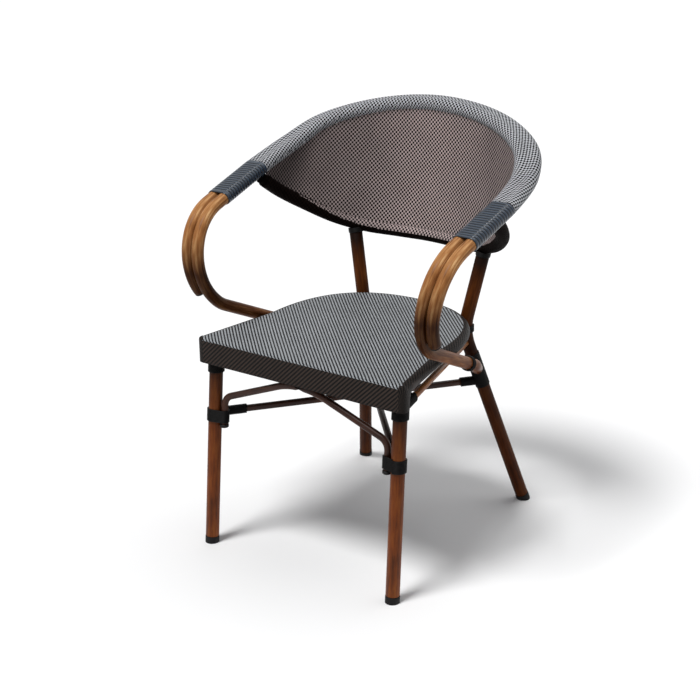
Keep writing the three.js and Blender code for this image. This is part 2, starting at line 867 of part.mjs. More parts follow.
function armPlug() {
  const stemRadius = railRadius - railWall - gap;
  const profile = [
    new THREE.Vector2(0, -plugStem),
    new THREE.Vector2(stemRadius, -plugStem),
    new THREE.Vector2(stemRadius, gap),
    new THREE.Vector2(railRadius, gap),
    new THREE.Vector2(railRadius, plugHead / 2),
    new THREE.Vector2(stemRadius, plugHead),
    new THREE.Vector2(0, plugHead),
  ];
  return new THREE.LatheGeometry(profile, lashingSides);
}

function spigot() {
  const radius = railRadius - railWall - gap;
  return new THREE.CylinderGeometry(radius, radius, spigotLength, lashingSides);
}

// Back

function hoopTube(offset) {
  const line = new Beside(hoopLine, offset);
  const tools = [1, -1].map((side) => {
    const start = pairJoint(side).add(new THREE.Vector3(side * offset, 0, 0));
    return spigotBore(start, pairDirection(side));
  });
  const reach = 2 * (pairPitch + overrun);
  const ends = [1, -1].map((side) => {
    const face = new THREE.BoxGeometry(reach, overrun, reach).translate(0, jointGap - overrun / 2, 0);
    return standAt(face, pairJoint(side), pairDirection(side));
  });
  const tube = tubeAlong(line, railRadius, hoopSides, hoopShares);
  return cut(tube, [...tools, ...ends]);
}

// The section of the cloth round two tubes: two half circles joined by straights.
function coverRing(share, radius) {
  const centre = hoopLine.getPointAt(share);
  const outward = outwardAt(hoopLine, share);
  const upward = outward.clone().cross(hoopLine.getTangentAt(share)).normalize();
  const ring = [];
  for (const end of [1, -1]) {
    for (let step = 0; step <= coverArcSteps; step += 1) {
      const angle = (step / coverArcSteps) * Math.PI - Math.PI / 2;
      const across = end * (pairPitch / 2 + radius * Math.cos(angle));
      const rise = end * radius * Math.sin(angle);
      ring.push(centre.clone().addScaledVector(outward, across).addScaledVector(upward, rise));
    }
  }
  return ring;
}

function hoopCover() {
  const outside = hoopCoverShares.map((share) => coverRing(share, hoopCoverOuter));
  const inside = hoopShares.map((share) => coverRing(share, hoopCoverInner));
  return cut(loft(outside), [loft(inside)]);
}

// What has to stay free of the cloth round the hoop.
function hoopCoverClearing() {
  return loft(hoopCoverShares.map((share) => coverRing(share, hoopCoverOuter + gap)));
}

function bottomRail() {
  const tools = [hoopCoverClearing(), ...[1, -1].map((side) => windingEnvelope(side, gap))];
  return cut(tubeAlong(bottomRailLine, railRadius, hoopSides, bottomRailShares), tools);
}

function bottomCover() {
  const sleeve = sleeveAlong(bottomRailLine, bottomCoverOuter, bottomCoverInner, hoopSides, bottomCoverShares);
  const tools = [1, -1].flatMap((side) => [rearLegClearing(side, legRadius), windingEnvelope(side, gap)]);
  return cut(sleeve, [hoopCoverClearing(), ...tools]);
}

// The panel hangs between the hoop's inner tube and the bottom rail, against the cloth round them.
function panelEdge(curve, share) {
  const inward = outwardAt(curve, share).negate();
  return curve.getPointAt(share).addScaledVector(inward, panelForward);
}

function backPanel() {
  const inner = new Beside(hoopLine, -pairPitch / 2);
  const rings = [];
  for (let column = 0; column <= panelColumns; column += 1) {
    const across = column / panelColumns;
    const hoopShare = THREE.MathUtils.lerp(panelHoopShare, 1 - panelHoopShare, across);
    const railShare = THREE.MathUtils.lerp(panelRailShare, 1 - panelRailShare, across);
    const top = panelEdge(inner, hoopShare);
    const bottom = panelEdge(bottomRailLine, railShare);
    rings.push(panelRing(top, bottom, outwardAt(hoopLine, hoopShare).negate()));
  }
  return cut(loft(rings), [hoopCoverClearing(), bottomRailClearing(bottomCoverOuter)]);
}

function panelRing(top, bottom, inward) {
  const ring = [];
  for (let row = 0; row <= panelRows; row += 1) ring.push(between(bottom, top, row / panelRows));
  for (let row = panelRows; row >= 0; row -= 1) {
    ring.push(between(bottom, top, row / panelRows).addScaledVector(inward, backClothThickness));
  }
  return ring;
}

// Windings

function windingAxes(side) {
  const forward = pairDirection(side).negate();
  const outward = new THREE.Vector3(side, 0, 0);
  outward.addScaledVector(forward, -outward.dot(forward)).normalize();
  const upward = new THREE.Vector3().crossVectors(outward, forward).normalize();
  if (upward.z < 0) upward.negate();
  const start = pairJoint(side).addScaledVector(forward, windingStart);
  return { start, backward: forward.clone().negate(), outward, upward };
}

// Places round a pair of tubes, from its underside: across, up, and the outward normal.
function roundPair(radius, arcSteps) {
  const places = [];
  for (const end of [1, -1]) {
    for (let step = 0; step <= arcSteps; step += 1) {
      const angle = (step / arcSteps) * Math.PI - Math.PI / 2;
      const normal = new THREE.Vector2(end * Math.cos(angle), end * Math.sin(angle));
      places.push({ across: (end * pairPitch) / 2 + radius * normal.x, rise: radius * normal.y, normal });
    }
  }
  return places;
}

const windingInner = (railRadius + windingEase) / Math.cos(Math.PI / (2 * windingArcSteps));

function windingEnvelope(side, clearance) {
  const { start, backward, outward, upward } = windingAxes(side);
  const places = roundPair(windingInner + strandThickness + clearance, windingArcSteps);
  const ring = (distance) => places.map((place) => start.clone()
    .addScaledVector(backward, distance)
    .addScaledVector(outward, place.across)
    .addScaledVector(upward, place.rise));
  return loft([ring(-clearance), ring(windingLength + clearance)]);
}

function winding(side) {
  const { start, backward, outward, upward } = windingAxes(side);
  const places = roundPair(windingInner, windingArcSteps);
  const pitch = windingLength / windingTurns;
  const halfWidth = (pitch * strandWidthShare) / 2;
  const crown = [[-1, 0], [1, 0], [strandCrownShare, 1], [-strandCrownShare, 1]];
  const usable = windingLength - 2 * halfWidth;
  const rings = [];
  const total = windingTurns * places.length;
  for (let step = 0; step <= total; step += 1) {
    const place = places[step % places.length];
    const distance = halfWidth + (usable * step) / total;
    const centre = start.clone()
      .addScaledVector(backward, distance)
      .addScaledVector(outward, place.across)
      .addScaledVector(upward, place.rise);
    const normal = outward.clone().multiplyScalar(place.normal.x).addScaledVector(upward, place.normal.y);
    rings.push(crown.map(([wide, high]) => centre.clone()
      .addScaledVector(backward, wide * halfWidth)
      .addScaledVector(normal, high * strandThickness)));
  }
  reportLeastGap(rings, places.length);
  return loft(rings);
}

// Measures the least distance between one turn of a winding and the next, on its points.
function reportLeastGap(rings, turnSteps) {
  let least = Infinity;
  for (let first = 0; first < rings.length; first += 1) {
    const from = first + Math.floor(turnSteps / 2);
    const to = Math.min(rings.length, first + 2 * turnSteps);
    for (let second = from; second < to; second += 1) {
      for (const here of rings[first]) {
        for (const there of rings[second]) least = Math.min(least, here.distanceTo(there));
      }
    }
  }
  console.log(`winding: least gap between turns ${least.toFixed(2)} mm`);
}

// Lashings

// The front collar holds the leg and the arch's end together, so its outline goes round both.
function collarBody(side, thickness, extra) {
  const leg = frontLegLine(side);
  const direction = directionTo(leg.foot, leg.top);
  const start = atHeight(leg.foot, leg.top, frontCollarBottom - extra);
  const legReach = legRadius + thickness;
  const braceReach = braceRadius + thickness;
  const tilt = Math.acos((legReach - braceReach) / braceOffset);
  const shape = new THREE.Shape();
  shape.absarc(0, 0, legReach, tilt, 2 * Math.PI - tilt, false);
  shape.absarc(braceOffset, 0, braceReach, -tilt, tilt, false);
  const geometry = new THREE.ExtrudeGeometry(shape, {
    depth: frontCollarHeight + 2 * (extra - lashingRounding),
    curveSegments: collarArcSteps,
    bevelThickness: lashingRounding,
    bevelSize: lashingRounding,
    bevelOffset: -lashingRounding,
    bevelSegments: 1,
  });
  const inward = new THREE.Vector3(-side, 0, 0);
  inward.addScaledVector(direction, -inward.dot(direction)).normalize();
  const across = new THREE.Vector3().crossVectors(direction, inward);
  const frame = new THREE.Matrix4().makeBasis(inward, across, direction);
  return geometry.translate(0, 0, lashingRounding).applyMatrix4(frame).translate(start.x, start.y, start.z);
}

function frontCollar(side) {
  const leg = frontLegLine(side);
  const line = stretcherLine(side);
  return cut(collarBody(side, lashingThickness, 0), [
    clearingRod(leg.foot, leg.top, legRadius),
    clearingRod(braceBeside(side, braceEndHeight), braceBeside(side, braceBendHeight), braceRadius),
    clearingRod(line.start, line.end, braceRadius),
  ]);
}

function rearCollar(side) {
  const leg = rearLegLine(side);
  const line = stretcherLine(-side);
  const start = atHeight(leg.foot, leg.knee, line.end.z - braceRadius - rearCollarMargin);
  const end = atHeight(leg.foot, leg.knee, rearCollarTop);
  const inner = (legRadius + gap) / Math.cos(Math.PI / lashingSides);
  const collar = band(start, directionTo(start, end), inner, rearLashingThickness, start.distanceTo(end));
  const corners = armCorners(side);
  return cut(collar, [
    clearingRod(corners[3], corners[4], railRadius),
    clearingRod(line.start, line.end, braceRadius),
  ]);
}

function legTopWrap(side) {
  const leg = frontLegLine(side);
  const start = atHeight(leg.foot, leg.top, apronBottom - gap - legTopWrapHeight);
  const inner = (legRadius + gap) / Math.cos(Math.PI / lashingSides);
  const wrap = band(start, directionTo(leg.foot, leg.top), inner, lashingThickness, legTopWrapHeight);
  const line = sideTubeLine(side);
  return cut(wrap, [aboveLevel(apronBottom - gap), clearingRod(line.start, line.end, braceRadius)]);
}

function kneeWrap(side) {
  const leg = rearLegLine(side);
  const curve = new BentLine([leg.foot, leg.knee, leg.top], [kneeBendRadius]);
  const start = curve.getPointAt(shareAtHeight(curve, kneeWrapBottom));
  const end = curve.getPointAt(shareAtHeight(curve, kneeWrapBottom + kneeWrapHeight));
  const inner = (legRadius + 2 * gap) / Math.cos(Math.PI / lashingSides);
  const wrap = band(start, directionTo(start, end), inner, lashingThickness, kneeWrapHeight);
  const seat = raised(roundedBlock(seatOutline(-gap), seatFrameBottom - gap, seatHeight + overrun, seatTubeRounding));
  return cut(wrap, [seat, rearLegClearing(side, legRadius)]);
}

function backWrap(side) {
  const leg = rearLegLine(side);
  const down = directionTo(leg.top, leg.knee);
  const start = leg.top.clone().addScaledVector(down, backWrapHeight + bottomCoverOuter);
  const inner = (legRadius + gap) / Math.cos(Math.PI / lashingSides);
  const wrap = band(start, down.clone().negate(), inner, rearLashingThickness, backWrapHeight + bottomCoverOuter / 2);
  return cut(wrap, [bottomRailClearing(bottomCoverOuter)]);
}

function lashingReach(radius) {
  return (radius + gap) / Math.cos(Math.PI / lashingSides) + lashingThickness;
}

function wrapAlong(start, end, distance, length, radius) {
  const inner = (radius + gap) / Math.cos(Math.PI / lashingSides);
  const from = along(start, end, distance);
  return band(from, directionTo(start, end), inner, lashingThickness, length);
}

function stretcherWrapFront(side) {
  const line = stretcherLine(side);
  const leg = frontLegLine(side);
  const wrap = wrapAlong(line.start, line.end, legRadius, stretcherWrapLength.front, braceRadius);
  return cut(wrap, [
    collarBody(side, lashingThickness + gap, gap),
    clearingRod(leg.foot, leg.top, legRadius),
    clearingRod(braceBeside(side, braceEndHeight), braceBeside(side, braceBendHeight), braceRadius),
  ]);
}

function stretcherWrapRear(side) {
  const line = stretcherLine(-side);
  const leg = rearLegLine(side);
  const wrap = wrapAlong(line.end, line.start, legRadius, stretcherWrapLength.rear, braceRadius);
  return cut(wrap, [clearingRod(leg.foot, leg.knee, lashingReach(legRadius))]);
}

function sideSocket(side) {
  const line = sideTubeLine(side);
  const leg = frontLegLine(side);
  const wrap = wrapAlong(line.start, line.end, legRadius, socketLength, braceRadius);
  return cut(wrap, [clearingRod(leg.foot, leg.top, lashingReach(legRadius))]);
}

function armWrap(side) {
  const corners = armCorners(side);
  return wrapAlong(corners[3], corners[2], armWrapSetback, armWrapLength, railRadius);
}

// Assembly

const chair = new THREE.Group();

const legs = new THREE.Group();
for (const side of [1, -1]) {
  const name = sideName(side);
  const front = frontLegLine(side);
  const rear = rearLegLine(side);
  legs.add(piece(`front_leg_${name}`, frontLeg(side), finishes.legTube));
  legs.add(piece(`rear_leg_${name}`, rearLeg(side), finishes.legTube));
  legs.add(piece(`front_glide_${name}`, glide(front.foot, directionTo(front.foot, front.top)), finishes.glide));
  legs.add(piece(`rear_glide_${name}`, glide(rear.foot, directionTo(rear.foot, rear.knee)), finishes.glide));
}
chair.add(legs);

const seat = new THREE.Group();
seat.add(piece('seat_frame', seatFrame(), finishes.bareTube));
seat.add(piece('front_low_rail', lowRail(), finishes.bareTube));
seat.add(piece('seat_sling', seatCloth(), finishes.seatCloth));
chair.add(seat);

const braces = new THREE.Group();
braces.add(piece('front_arch_brace', archBrace(), finishes.braceTube));
for (const side of [1, -1]) {
  const name = sideName(side);
  braces.add(piece(`brace_end_cap_${name}`, braceCap(side), finishes.lashing));
  braces.add(piece(`cross_stretcher_${name}`, stretcher(side), finishes.braceTube));
  braces.add(piece(`side_tube_${name}`, sideTube(side), finishes.sideTube));
}
chair.add(braces);

const arms = new THREE.Group();
const outerShift = new THREE.Vector3(pairPitch, 0, 0);
const up = new THREE.Vector3(0, 1, 0);
for (const side of [1, -1]) {
  const name = sideName(side);
  arms.add(piece(`arm_inner_tube_${name}`, armInner(side), finishes.armTube));
  arms.add(piece(`arm_outer_tube_${name}`, armOuter(side), finishes.armTube));
  const end = armOuterEnd(side);
  const plug = piece(`arm_end_plug_${name}`, armPlug(), finishes.lashing);
  plug.position.copy(end.place);
  plug.quaternion.setFromUnitVectors(up, end.direction);
  arms.add(plug);
  for (const tube of ['inner', 'outer']) {
    const inside = piece(`joint_spigot_${tube}_${name}`, spigot(), finishes.bareTube);
    inside.position.copy(armCorners(side)[0]);
    if (tube === 'outer') inside.position.addScaledVector(outerShift, side);
    inside.quaternion.setFromUnitVectors(up, pairDirection(side));
    arms.add(inside);
  }
  arms.add(piece(`arm_winding_${name}`, winding(side), finishes.winding));
}
chair.add(arms);

const back = new THREE.Group();
back.add(piece('hoop_outer_tube', hoopTube(pairPitch / 2), finishes.bareTube));
back.add(piece('hoop_inner_tube', hoopTube(-pairPitch / 2), finishes.bareTube));
back.add(piece('hoop_cover', hoopCover(), finishes.railCloth));
back.add(piece('bottom_rail', bottomRail(), finishes.bareTube));
back.add(piece('bottom_rail_cover', bottomCover(), finishes.railCloth));
back.add(piece('back_panel', backPanel(), finishes.backCloth));
chair.add(back);

const lashings = new THREE.Group();
for (const side of [1, -1]) {
  const name = sideName(side);
  lashings.add(piece(`front_collar_${name}`, frontCollar(side), finishes.lashing));
  lashings.add(piece(`rear_collar_${name}`, rearCollar(side), finishes.lashing));
  lashings.add(piece(`front_leg_top_wrap_${name}`, legTopWrap(side), finishes.lashing));
  lashings.add(piece(`knee_wrap_${name}`, kneeWrap(side), finishes.lashing));
  lashings.add(piece(`back_wrap_${name}`, backWrap(side), finishes.lashing));
  lashings.add(piece(`stretcher_wrap_front_${name}`, stretcherWrapFront(side), finishes.lashing));
  lashings.add(piece(`stretcher_wrap_rear_${name}`, stretcherWrapRear(side), finishes.lashing));
  lashings.add(piece(`side_tube_socket_${name}`, sideSocket(side), finishes.lashing));
  lashings.add(piece(`arm_wrap_${name}`, armWrap(side), finishes.lashing));
}
chair.add(lashings);

// The chair stands with the middle of its footprint over the origin.
const bounds = new THREE.Box3().setFromObject(chair);
chair.position.y = -(bounds.min.y + bounds.max.y) / 2;

export default chair;
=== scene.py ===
"""The looks of the bistro armchair: smooth tubes with a rattan finish, cord windings and lashings, and woven cloth.
Lengths are in millimetres until a mesh or a material takes them. Depth is measured back from the front feet."""

from bisect import bisect
from collections import namedtuple
from math import acos, atan, ceil, cos, hypot, pi, radians, sin, sqrt, tan

import bmesh
import bpy
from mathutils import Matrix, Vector


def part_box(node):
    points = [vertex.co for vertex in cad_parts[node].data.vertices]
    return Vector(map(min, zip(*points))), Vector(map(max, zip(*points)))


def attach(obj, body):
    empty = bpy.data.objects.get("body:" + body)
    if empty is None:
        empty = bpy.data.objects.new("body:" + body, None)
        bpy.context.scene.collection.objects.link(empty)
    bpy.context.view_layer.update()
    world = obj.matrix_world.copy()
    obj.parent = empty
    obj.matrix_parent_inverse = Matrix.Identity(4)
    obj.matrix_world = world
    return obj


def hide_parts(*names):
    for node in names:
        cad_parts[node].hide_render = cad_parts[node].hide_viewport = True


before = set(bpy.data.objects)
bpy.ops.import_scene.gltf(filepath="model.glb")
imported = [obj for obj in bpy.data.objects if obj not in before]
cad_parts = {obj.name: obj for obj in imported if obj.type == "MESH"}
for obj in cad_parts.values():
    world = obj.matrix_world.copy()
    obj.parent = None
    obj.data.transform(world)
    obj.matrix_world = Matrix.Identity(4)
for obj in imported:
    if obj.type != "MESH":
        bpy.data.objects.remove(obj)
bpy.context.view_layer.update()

scene = bpy.context.scene

both_sides = ((1, "left"), (-1, "right"))
per_metre = 1000

# Sizes that the looks share with the frame

gap, wrap_gap = 0.3, 0.4   # between neighbours, and between a tube and what is drawn or wound round it
seat_height, seat_rise, seat_front = 452, 0.02, -2
seat_front_half, seat_rear_half = 249, 214
seat_side_depth, seat_depth = 202, 442
seat_corner, round_back = 18, 0.65
seat_cloth_room, seat_frame_size = 1.6, 25
front_apron, front_fold = 54, 6
low_rail_depth, low_rail_height, low_rail_radius = 6.9, 405.3, 7
seat_frame_bottom = seat_height - seat_cloth_room - gap - seat_frame_size
apron_bottom = seat_height - front_apron
leg_radius, rail_radius, brace_radius = 14, 12.5, 7
front_foot, front_top = 225, 221
front_top_depth = low_rail_depth + low_rail_radius + gap + leg_radius
rear_foot, rear_foot_depth = 211, 552
knee, knee_bend = (124.5, 418, 416), 130
rear_top_half = 162
brace_offset, brace_end, brace_bend = 24.5, 262, 323
brace_apex_angle, brace_apex_half, brace_bends = 1.2, 30, (26, 150, 150, 26)
upper_stretcher, lower_stretcher = (286, 299), (278, 278)   # heights at the front and the rear leg
side_tube_height = 391
bar_sink = 1   # how deep a thin bar's end goes into a leg
pair_pitch = 25.5
arm_points = [(277.8, 197, 720), (271, -67, 644), (249, 77.5, 498), (222, 300, 396)]   # the joint and three bends
arm_foot_height = 326
arm_bends = (110, 90, 80)
arm_outer_length = 301
hoop_straight, hoop_straight_shares = 69, (0, 0.5, 0.83, 1)
hoop_points = [(281, 367, 773), (244, 437, 811.5), (140, 499.5, 847), (0, 516, 863)]
rail_points = [
    (278, 258, 718), (267, 306, 683), (239, 362, 646), (196, 409, 614), (140, 444, 596), (72, 467, 590.5),
    (0, 474.5, 590),
]
rail_bare_end = 10
cover_radius = rail_radius + wrap_gap / 2
cover_thickness = 1.1
rail_outer = rail_radius + wrap_gap + cover_thickness
winding_length, winding_start, winding_turns, winding_thickness = 138, 69.5, 16, 1.6
lashing_thickness, rear_lashing_thickness = 3, 1.6
front_collar_height, front_collar_length = 268, 29
rear_collar_top, rear_collar_drop = 364, 6
knee_wrap_height, knee_wrap_length = 413, 17
leg_top_wrap = 26
back_wrap, back_wrap_clearance, back_wrap_rest = 8, 1.5, 4
arm_wrap_distance, arm_wrap_length = 32, 14
stretcher_front_wrap, stretcher_rear_wrap, side_tube_wrap = 52, 34, 58
plug_steps = (gap, 2.2, 4)   # rings along an arm's plug, from the tube's end
cap_below, cap_above, cap_wall, cap_rounding = 2.3, 4.7, 2.2, 1.2
panel_hoop_share, panel_rail_share, panel_forward = 0.062, 0.022, 7
glide_radius, glide_height = 14.6, 14
glide_profile = [   # radius, and height along the leg
    (9.6, -6), (12.4, -5), (14.1, -3), (glide_radius, -0.6), (glide_radius, glide_height - 1.2),
    (14.2, glide_height - gap), (12.2, glide_height - gap), (12.2, glide_height + 18),
]

# Sizes of the looks alone

same_place, cut_margin, tangent_reach = 1e-6, 0.5, 4
sharp_edge = radians(50)
floor_gap = 0.1
lashing_pitch, rear_collar_pitch, front_collar_turns = 2.5, 2.6, 11
winding_fill, closed_turns = 0.94, 1
# The painted shade toward a strand's edges is measured against these half widths.
winding_half, lashing_half = 4.05, 1.2   # half of a strand's width, for its shading
strand_play = 0.2   # by which a lashing's strand is thinner than its band in the frame
strand_side = [(1, 0), (0.92, 0.42), (0.7, 0.74), (0.36, 0.94)]   # shares of half the width and of the thickness
strand_profile = [(-wide, high) for wide, high in strand_side] + [(0, 1)] + strand_side[::-1]
knee_steps, hoop_steps = 2000, 900
roll_reach = 13.4   # radius of the cloth round the tube in the seat's edge
ring_corner, ring_clearance = 26, 1.7
apron_turn = (22, 38)   # depths between which the hanging apron becomes the roll
front_margin = 0.1
fold_steps, roll_steps, apron_steps, tuck_step = 8, 10, 13, 3
seat_rings, seat_sag, sag_rate, seat_middle_share = 26, 2.2, 2.4, 0.47
seat_thickness, panel_thickness, cover_share = 1.2, 1.0, 0.9
columns_across, panel_rows, panel_hollow = 130, 30, 6
sleeve_step, sleeve_sides, cover_play = 6, 48, 0.2
# Bounds of the lit band round the rail's cloth, narrowing toward its ends; outside it the darker weave is painted
# shade.
lit_low, lit_low_rise, lit_high, lit_high_drop = 0.15, 0.25, 0.5, 0.27   # shares of the rail's girth
camera_place, camera_down, camera_turn, camera_lens = (1.6646, -2.2255, 1.5004), 20.26, 34.67, 79.71
floor_half = 30   # in metres

rail_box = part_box("front_low_rail")
shift = (rail_box[0].y + rail_box[1].y) / 2 * per_metre - low_rail_depth   # from depth to the frame's y


def metres(*lengths):
    return tuple(length / per_metre for length in lengths)


# Lines


def point(side, place):
    """A place of the left side, or its mirror image."""
    return Vector((side * place[0], place[1], place[2]))


def at_height(start, end, height):
    return start.lerp(end, (height - start.z) / (end.z - start.z))


def bent(corners, radii, step=radians(4)):
    """Straight runs joined by round bends, as points."""
    line = [corners[0]]
    for index in range(1, len(corners) - 1):
        corner, radius = corners[index], radii[index - 1]
        back = (corners[index - 1] - corner).normalized()
        ahead = (corners[index + 1] - corner).normalized()
        opening = back.angle(ahead)
        start = corner + back * (radius / tan(opening / 2))
        centre = corner + (back + ahead).normalized() * (radius / sin(opening / 2))
        first = (start - centre).normalized()
        turn = pi - opening
        count = max(2, ceil(turn / step))
        for place in range(count + 1):
            angle = turn * place / count
            line.append(centre + first * (radius * cos(angle)) - back * (radius * sin(angle)))
    line.append(corners[-1])
    return line


def smooth_line(points, count=600):
    """A centripetal curve through points, as many points along it."""
    last = len(points) - 1
    line = []
    for step in range(count + 1):
        place = last * step / count
        index = min(int(place), last - 1)
        weight = place - index
        p1, p2 = points[index], points[index + 1]
        p0 = points[index - 1] if index > 0 else p1 * 2 - p2
        p3 = points[index + 2] if index + 2 <= last else p2 * 2 - p1
        d0, d1, d2 = ((p1 - p0).length ** 0.5, (p2 - p1).length ** 0.5, (p3 - p2).length ** 0.5)
        t1 = ((p1 - p0) / d0 - (p2 - p0) / (d0 + d1) + (p2 - p1) / d1) * d1
        t2 = ((p2 - p1) / d1 - (p3 - p1) / (d1 + d2) + (p3 - p2) / d2) * d1
        c2 = (p2 - p1) * 3 - t1 * 2 - t2
        c3 = (p1 - p2) * 2 + t1 + t2
        line.append(p1 + t1 * weight + c2 * weight ** 2 + c3 * weight ** 3)
    return line


class Path:
    """A polyline that is asked for places by length."""

    def __init__(self, points):
        self.points = [points[0]]
        for place in points[1:]:
            if (place - self.points[-1]).length > same_place:
                self.points.append(place)
        self.lengths = [0.0]
        for before, after in zip(self.points, self.points[1:]):
            self.lengths.append(self.lengths[-1] + (after - before).length)
        self.total = self.lengths[-1]

    def spot(self, length):
        """Which of the line's pieces a length falls in, and the share of that piece before it."""
        index = min(max(0, bisect(self.lengths, length) - 1), len(self.lengths) - 2)
        start, end = self.lengths[index:index + 2]
        return index, (length - start) / (end - start)

    def at(self, length):
        index, part = self.spot(length)
        return self.points[index].lerp(self.points[index + 1], part)

    def tangent(self, length, reach=1.0):
        low, high = max(0, length - reach), min(self.total, length + reach)
        return (self.at(high) - self.at(low)).normalized()

    def cut(self, start, end):
        """The points between two lengths, and those at them."""
        inside = [p for p, s in zip(self.points, self.lengths) if start + cut_margin < s < end - cut_margin]
        return [self.at(start), *inside, self.at(end)]


def outward_at(path, length):
    """The level direction across a path, away from the chair's middle."""
    tangent = path.tangent(length, tangent_reach)
    return Vector((tangent.y, -tangent.x, 0)).normalized()


def mirrored(points):
    """A line that ends in the chair's middle, carried on over the other side."""
    return points + [Vector((-p.x, p.y, p.z)) for p in reversed(points[:-1])]


rail_path = Path(smooth_line(mirrored([point(1, p) for p in rail_points])))


def front_leg(side):
    """The foot and the top of a front leg."""
    foot = Vector((side * front_foot, 0, 0))
    low = Vector((side * front_top, front_top_depth, low_rail_height))
    return foot, at_height(foot, low, seat_frame_bottom - gap)


def rear_leg(side):
    """The foot, the knee and the top of a rear leg."""
    top = min(rail_path.points, key=lambda p: abs(p.x - side * rear_top_half))
    return Vector((side * rear_foot, rear_foot_depth, 0)), point(side, knee), top


def arm_corners(side, offset=0):
    """The corners of an arm's inner tube, from the joint down to the rear leg, moved sideways by an offset."""
    foot, bend, _ = rear_leg(side)
    corners = [point(side, p) for p in arm_points]
    corners.append(at_height(foot, bend, arm_foot_height))
    return [c + Vector((side * offset, 0, 0)) for c in corners]


def pair(side):
    """The middle of the pair of tubes at the joint, and the direction back along it."""
    joint, front = arm_corners(side)[:2]
    return joint + Vector((side * pair_pitch / 2, 0, 0)), (joint - front).normalized()


hoop_start, hoop_back = pair(1)
hoop_path = Path(smooth_line(mirrored(
    [hoop_start + hoop_back * (hoop_straight * share) for share in hoop_straight_shares]
    + [point(1, p) for p in hoop_points]
), hoop_steps))


def brace_beside(side, height):
    """The middle of the arch brace where it runs beside a front leg."""
    foot, top = front_leg(side)
    return at_height(foot, top, height) - Vector((side * brace_offset, 0, 0))


def stretcher(side):
    """The ends of the bar from a front leg to the opposite rear leg."""
    foot, top = front_leg(side)
    rear, bend, _ = rear_leg(-side)
    heights = lower_stretcher if side > 0 else upper_stretcher
    return at_height(foot, top, heights[0]), at_height(rear, bend, heights[1])


def side_line(side):
    """The ends of the bar from a front leg to the rear leg behind it."""
    foot, top = front_leg(side)
    rear, bend, _ = rear_leg(side)
    return at_height(foot, top, side_tube_height), at_height(rear, bend, side_tube_height)


# Meshes


def placed(name, data):
    """A new object in the scene."""
    body = bpy.data.objects.new(name, data)
    scene.collection.objects.link(body)
    return body


def make(name, points, faces, materials, node, uvs=None, corner_uvs=None, along=None, sharp=None, slots=None):
    """A mesh from millimetre points that rides on the frame in its node's place. uvs and along are one value a point,
    in metres; corner_uvs are one for each corner of each face in turn; edges sharper than an angle stay sharp."""
    mesh = bpy.data.meshes.new(name)
    mesh.from_pydata([metres(p.x, p.y + shift, p.z) for p in points], [], faces)
    mesh.update()
    for polygon in mesh.polygons:
        polygon.use_smooth = True
    if uvs or corner_uvs:
        layer = mesh.uv_layers.new(name="weave")
        for loop in mesh.loops:
            layer.data[loop.index].uv = corner_uvs[loop.index] if corner_uvs else uvs[loop.vertex_index]
    if along:
        attribute = mesh.attributes.new("along", "FLOAT_VECTOR", "POINT")
        attribute.data.foreach_set("vector", [value for place in along for value in place])
    body = placed(name, mesh)
    for material in materials:
        mesh.materials.append(material)
    if slots:
        mesh.polygons.foreach_set("material_index", slots)
    bm = bmesh.new()
    bm.from_mesh(mesh)
    bmesh.ops.recalc_face_normals(bm, faces=bm.faces)
    if sharp:
        for edge in bm.edges:
            if len(edge.link_faces) == 2 and edge.calc_face_angle(0) > sharp:
                edge.smooth = False
    bm.to_mesh(mesh)
    bm.free()
    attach(body, "root")
    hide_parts(node)
    return body


def squared(across, axis):
    """A cross direction made square to an axis."""
    return (across - axis * across.dot(axis)).normalized()


def frames(line):
    """At each point of a line, its tangent and a pair of cross directions that don't turn round it."""
    tangents = []
    for i, place in enumerate(line):
        ahead = (line[i + 1] - place).normalized() if i + 1 < len(line) else Vector()
        behind = (place - line[i - 1]).normalized() if i else Vector()
        tangents.append((ahead + behind).normalized())
    across = squared(tangents[0].orthogonal(), tangents[0])
    result = []
    for i, tangent in enumerate(tangents):
        if i:
            across = squared(tangents[i - 1].rotation_difference(tangent) @ across, tangent)
        result.append((tangent, across, tangent.cross(across)))
    return result


def ring_faces(rings, sides, capped=True):
    """Faces from each ring of points to the next, and over the first and the last ring."""
    faces = []
    for i in range(rings - 1):
        for k in range(sides):
            a, b = i * sides + k, i * sides + (k + 1) % sides
            faces.append((a, b, b + sides, a + sides))
    if capped:
        last = (rings - 1) * sides
        faces += [tuple(range(sides)), tuple(range(last + sides - 1, last - 1, -1))]
    return faces


def circle_section(radius, steps=28):
    """A section is a list of places and outward directions: (across, up, outward across, outward up)."""
    angles = [2 * pi * k / steps for k in range(steps)]
    return [(radius * cos(a), radius * sin(a), cos(a), sin(a)) for a in angles]


def pair_section(radius, steps=14, straights=5):
    """Round two tubes side by side, from the underside."""
    half, section = pair_pitch / 2, []
    for end in (1, -1):
        for k in range(steps + 1):
            angle = pi * k / steps - pi / 2
            nx, ny = end * cos(angle), end * sin(angle)
            section.append((end * half + radius * nx, radius * ny, nx, ny))
        for k in range(1, straights):
            share = 1 - 2 * k / straights
            section.append((end * half * share, end * radius, 0, end))
    return section


def two_bar_section(reach_one, reach_two, offset, steps=16):
    """Round a thick bar at the origin and a thinner one at an offset."""
    tilt = acos((reach_one - reach_two) / offset)
    arcs = (0, reach_one, tilt, 2 * pi - 2 * tilt), (offset, reach_two, -tilt, 2 * tilt)
    section = []
    for middle, reach, first, turn in arcs:
        for k in range(steps + 1):
            angle = first + turn * k / steps
            nx, ny = cos(angle), sin(angle)
            section.append((middle + reach * nx, reach * ny, nx, ny))
    return section


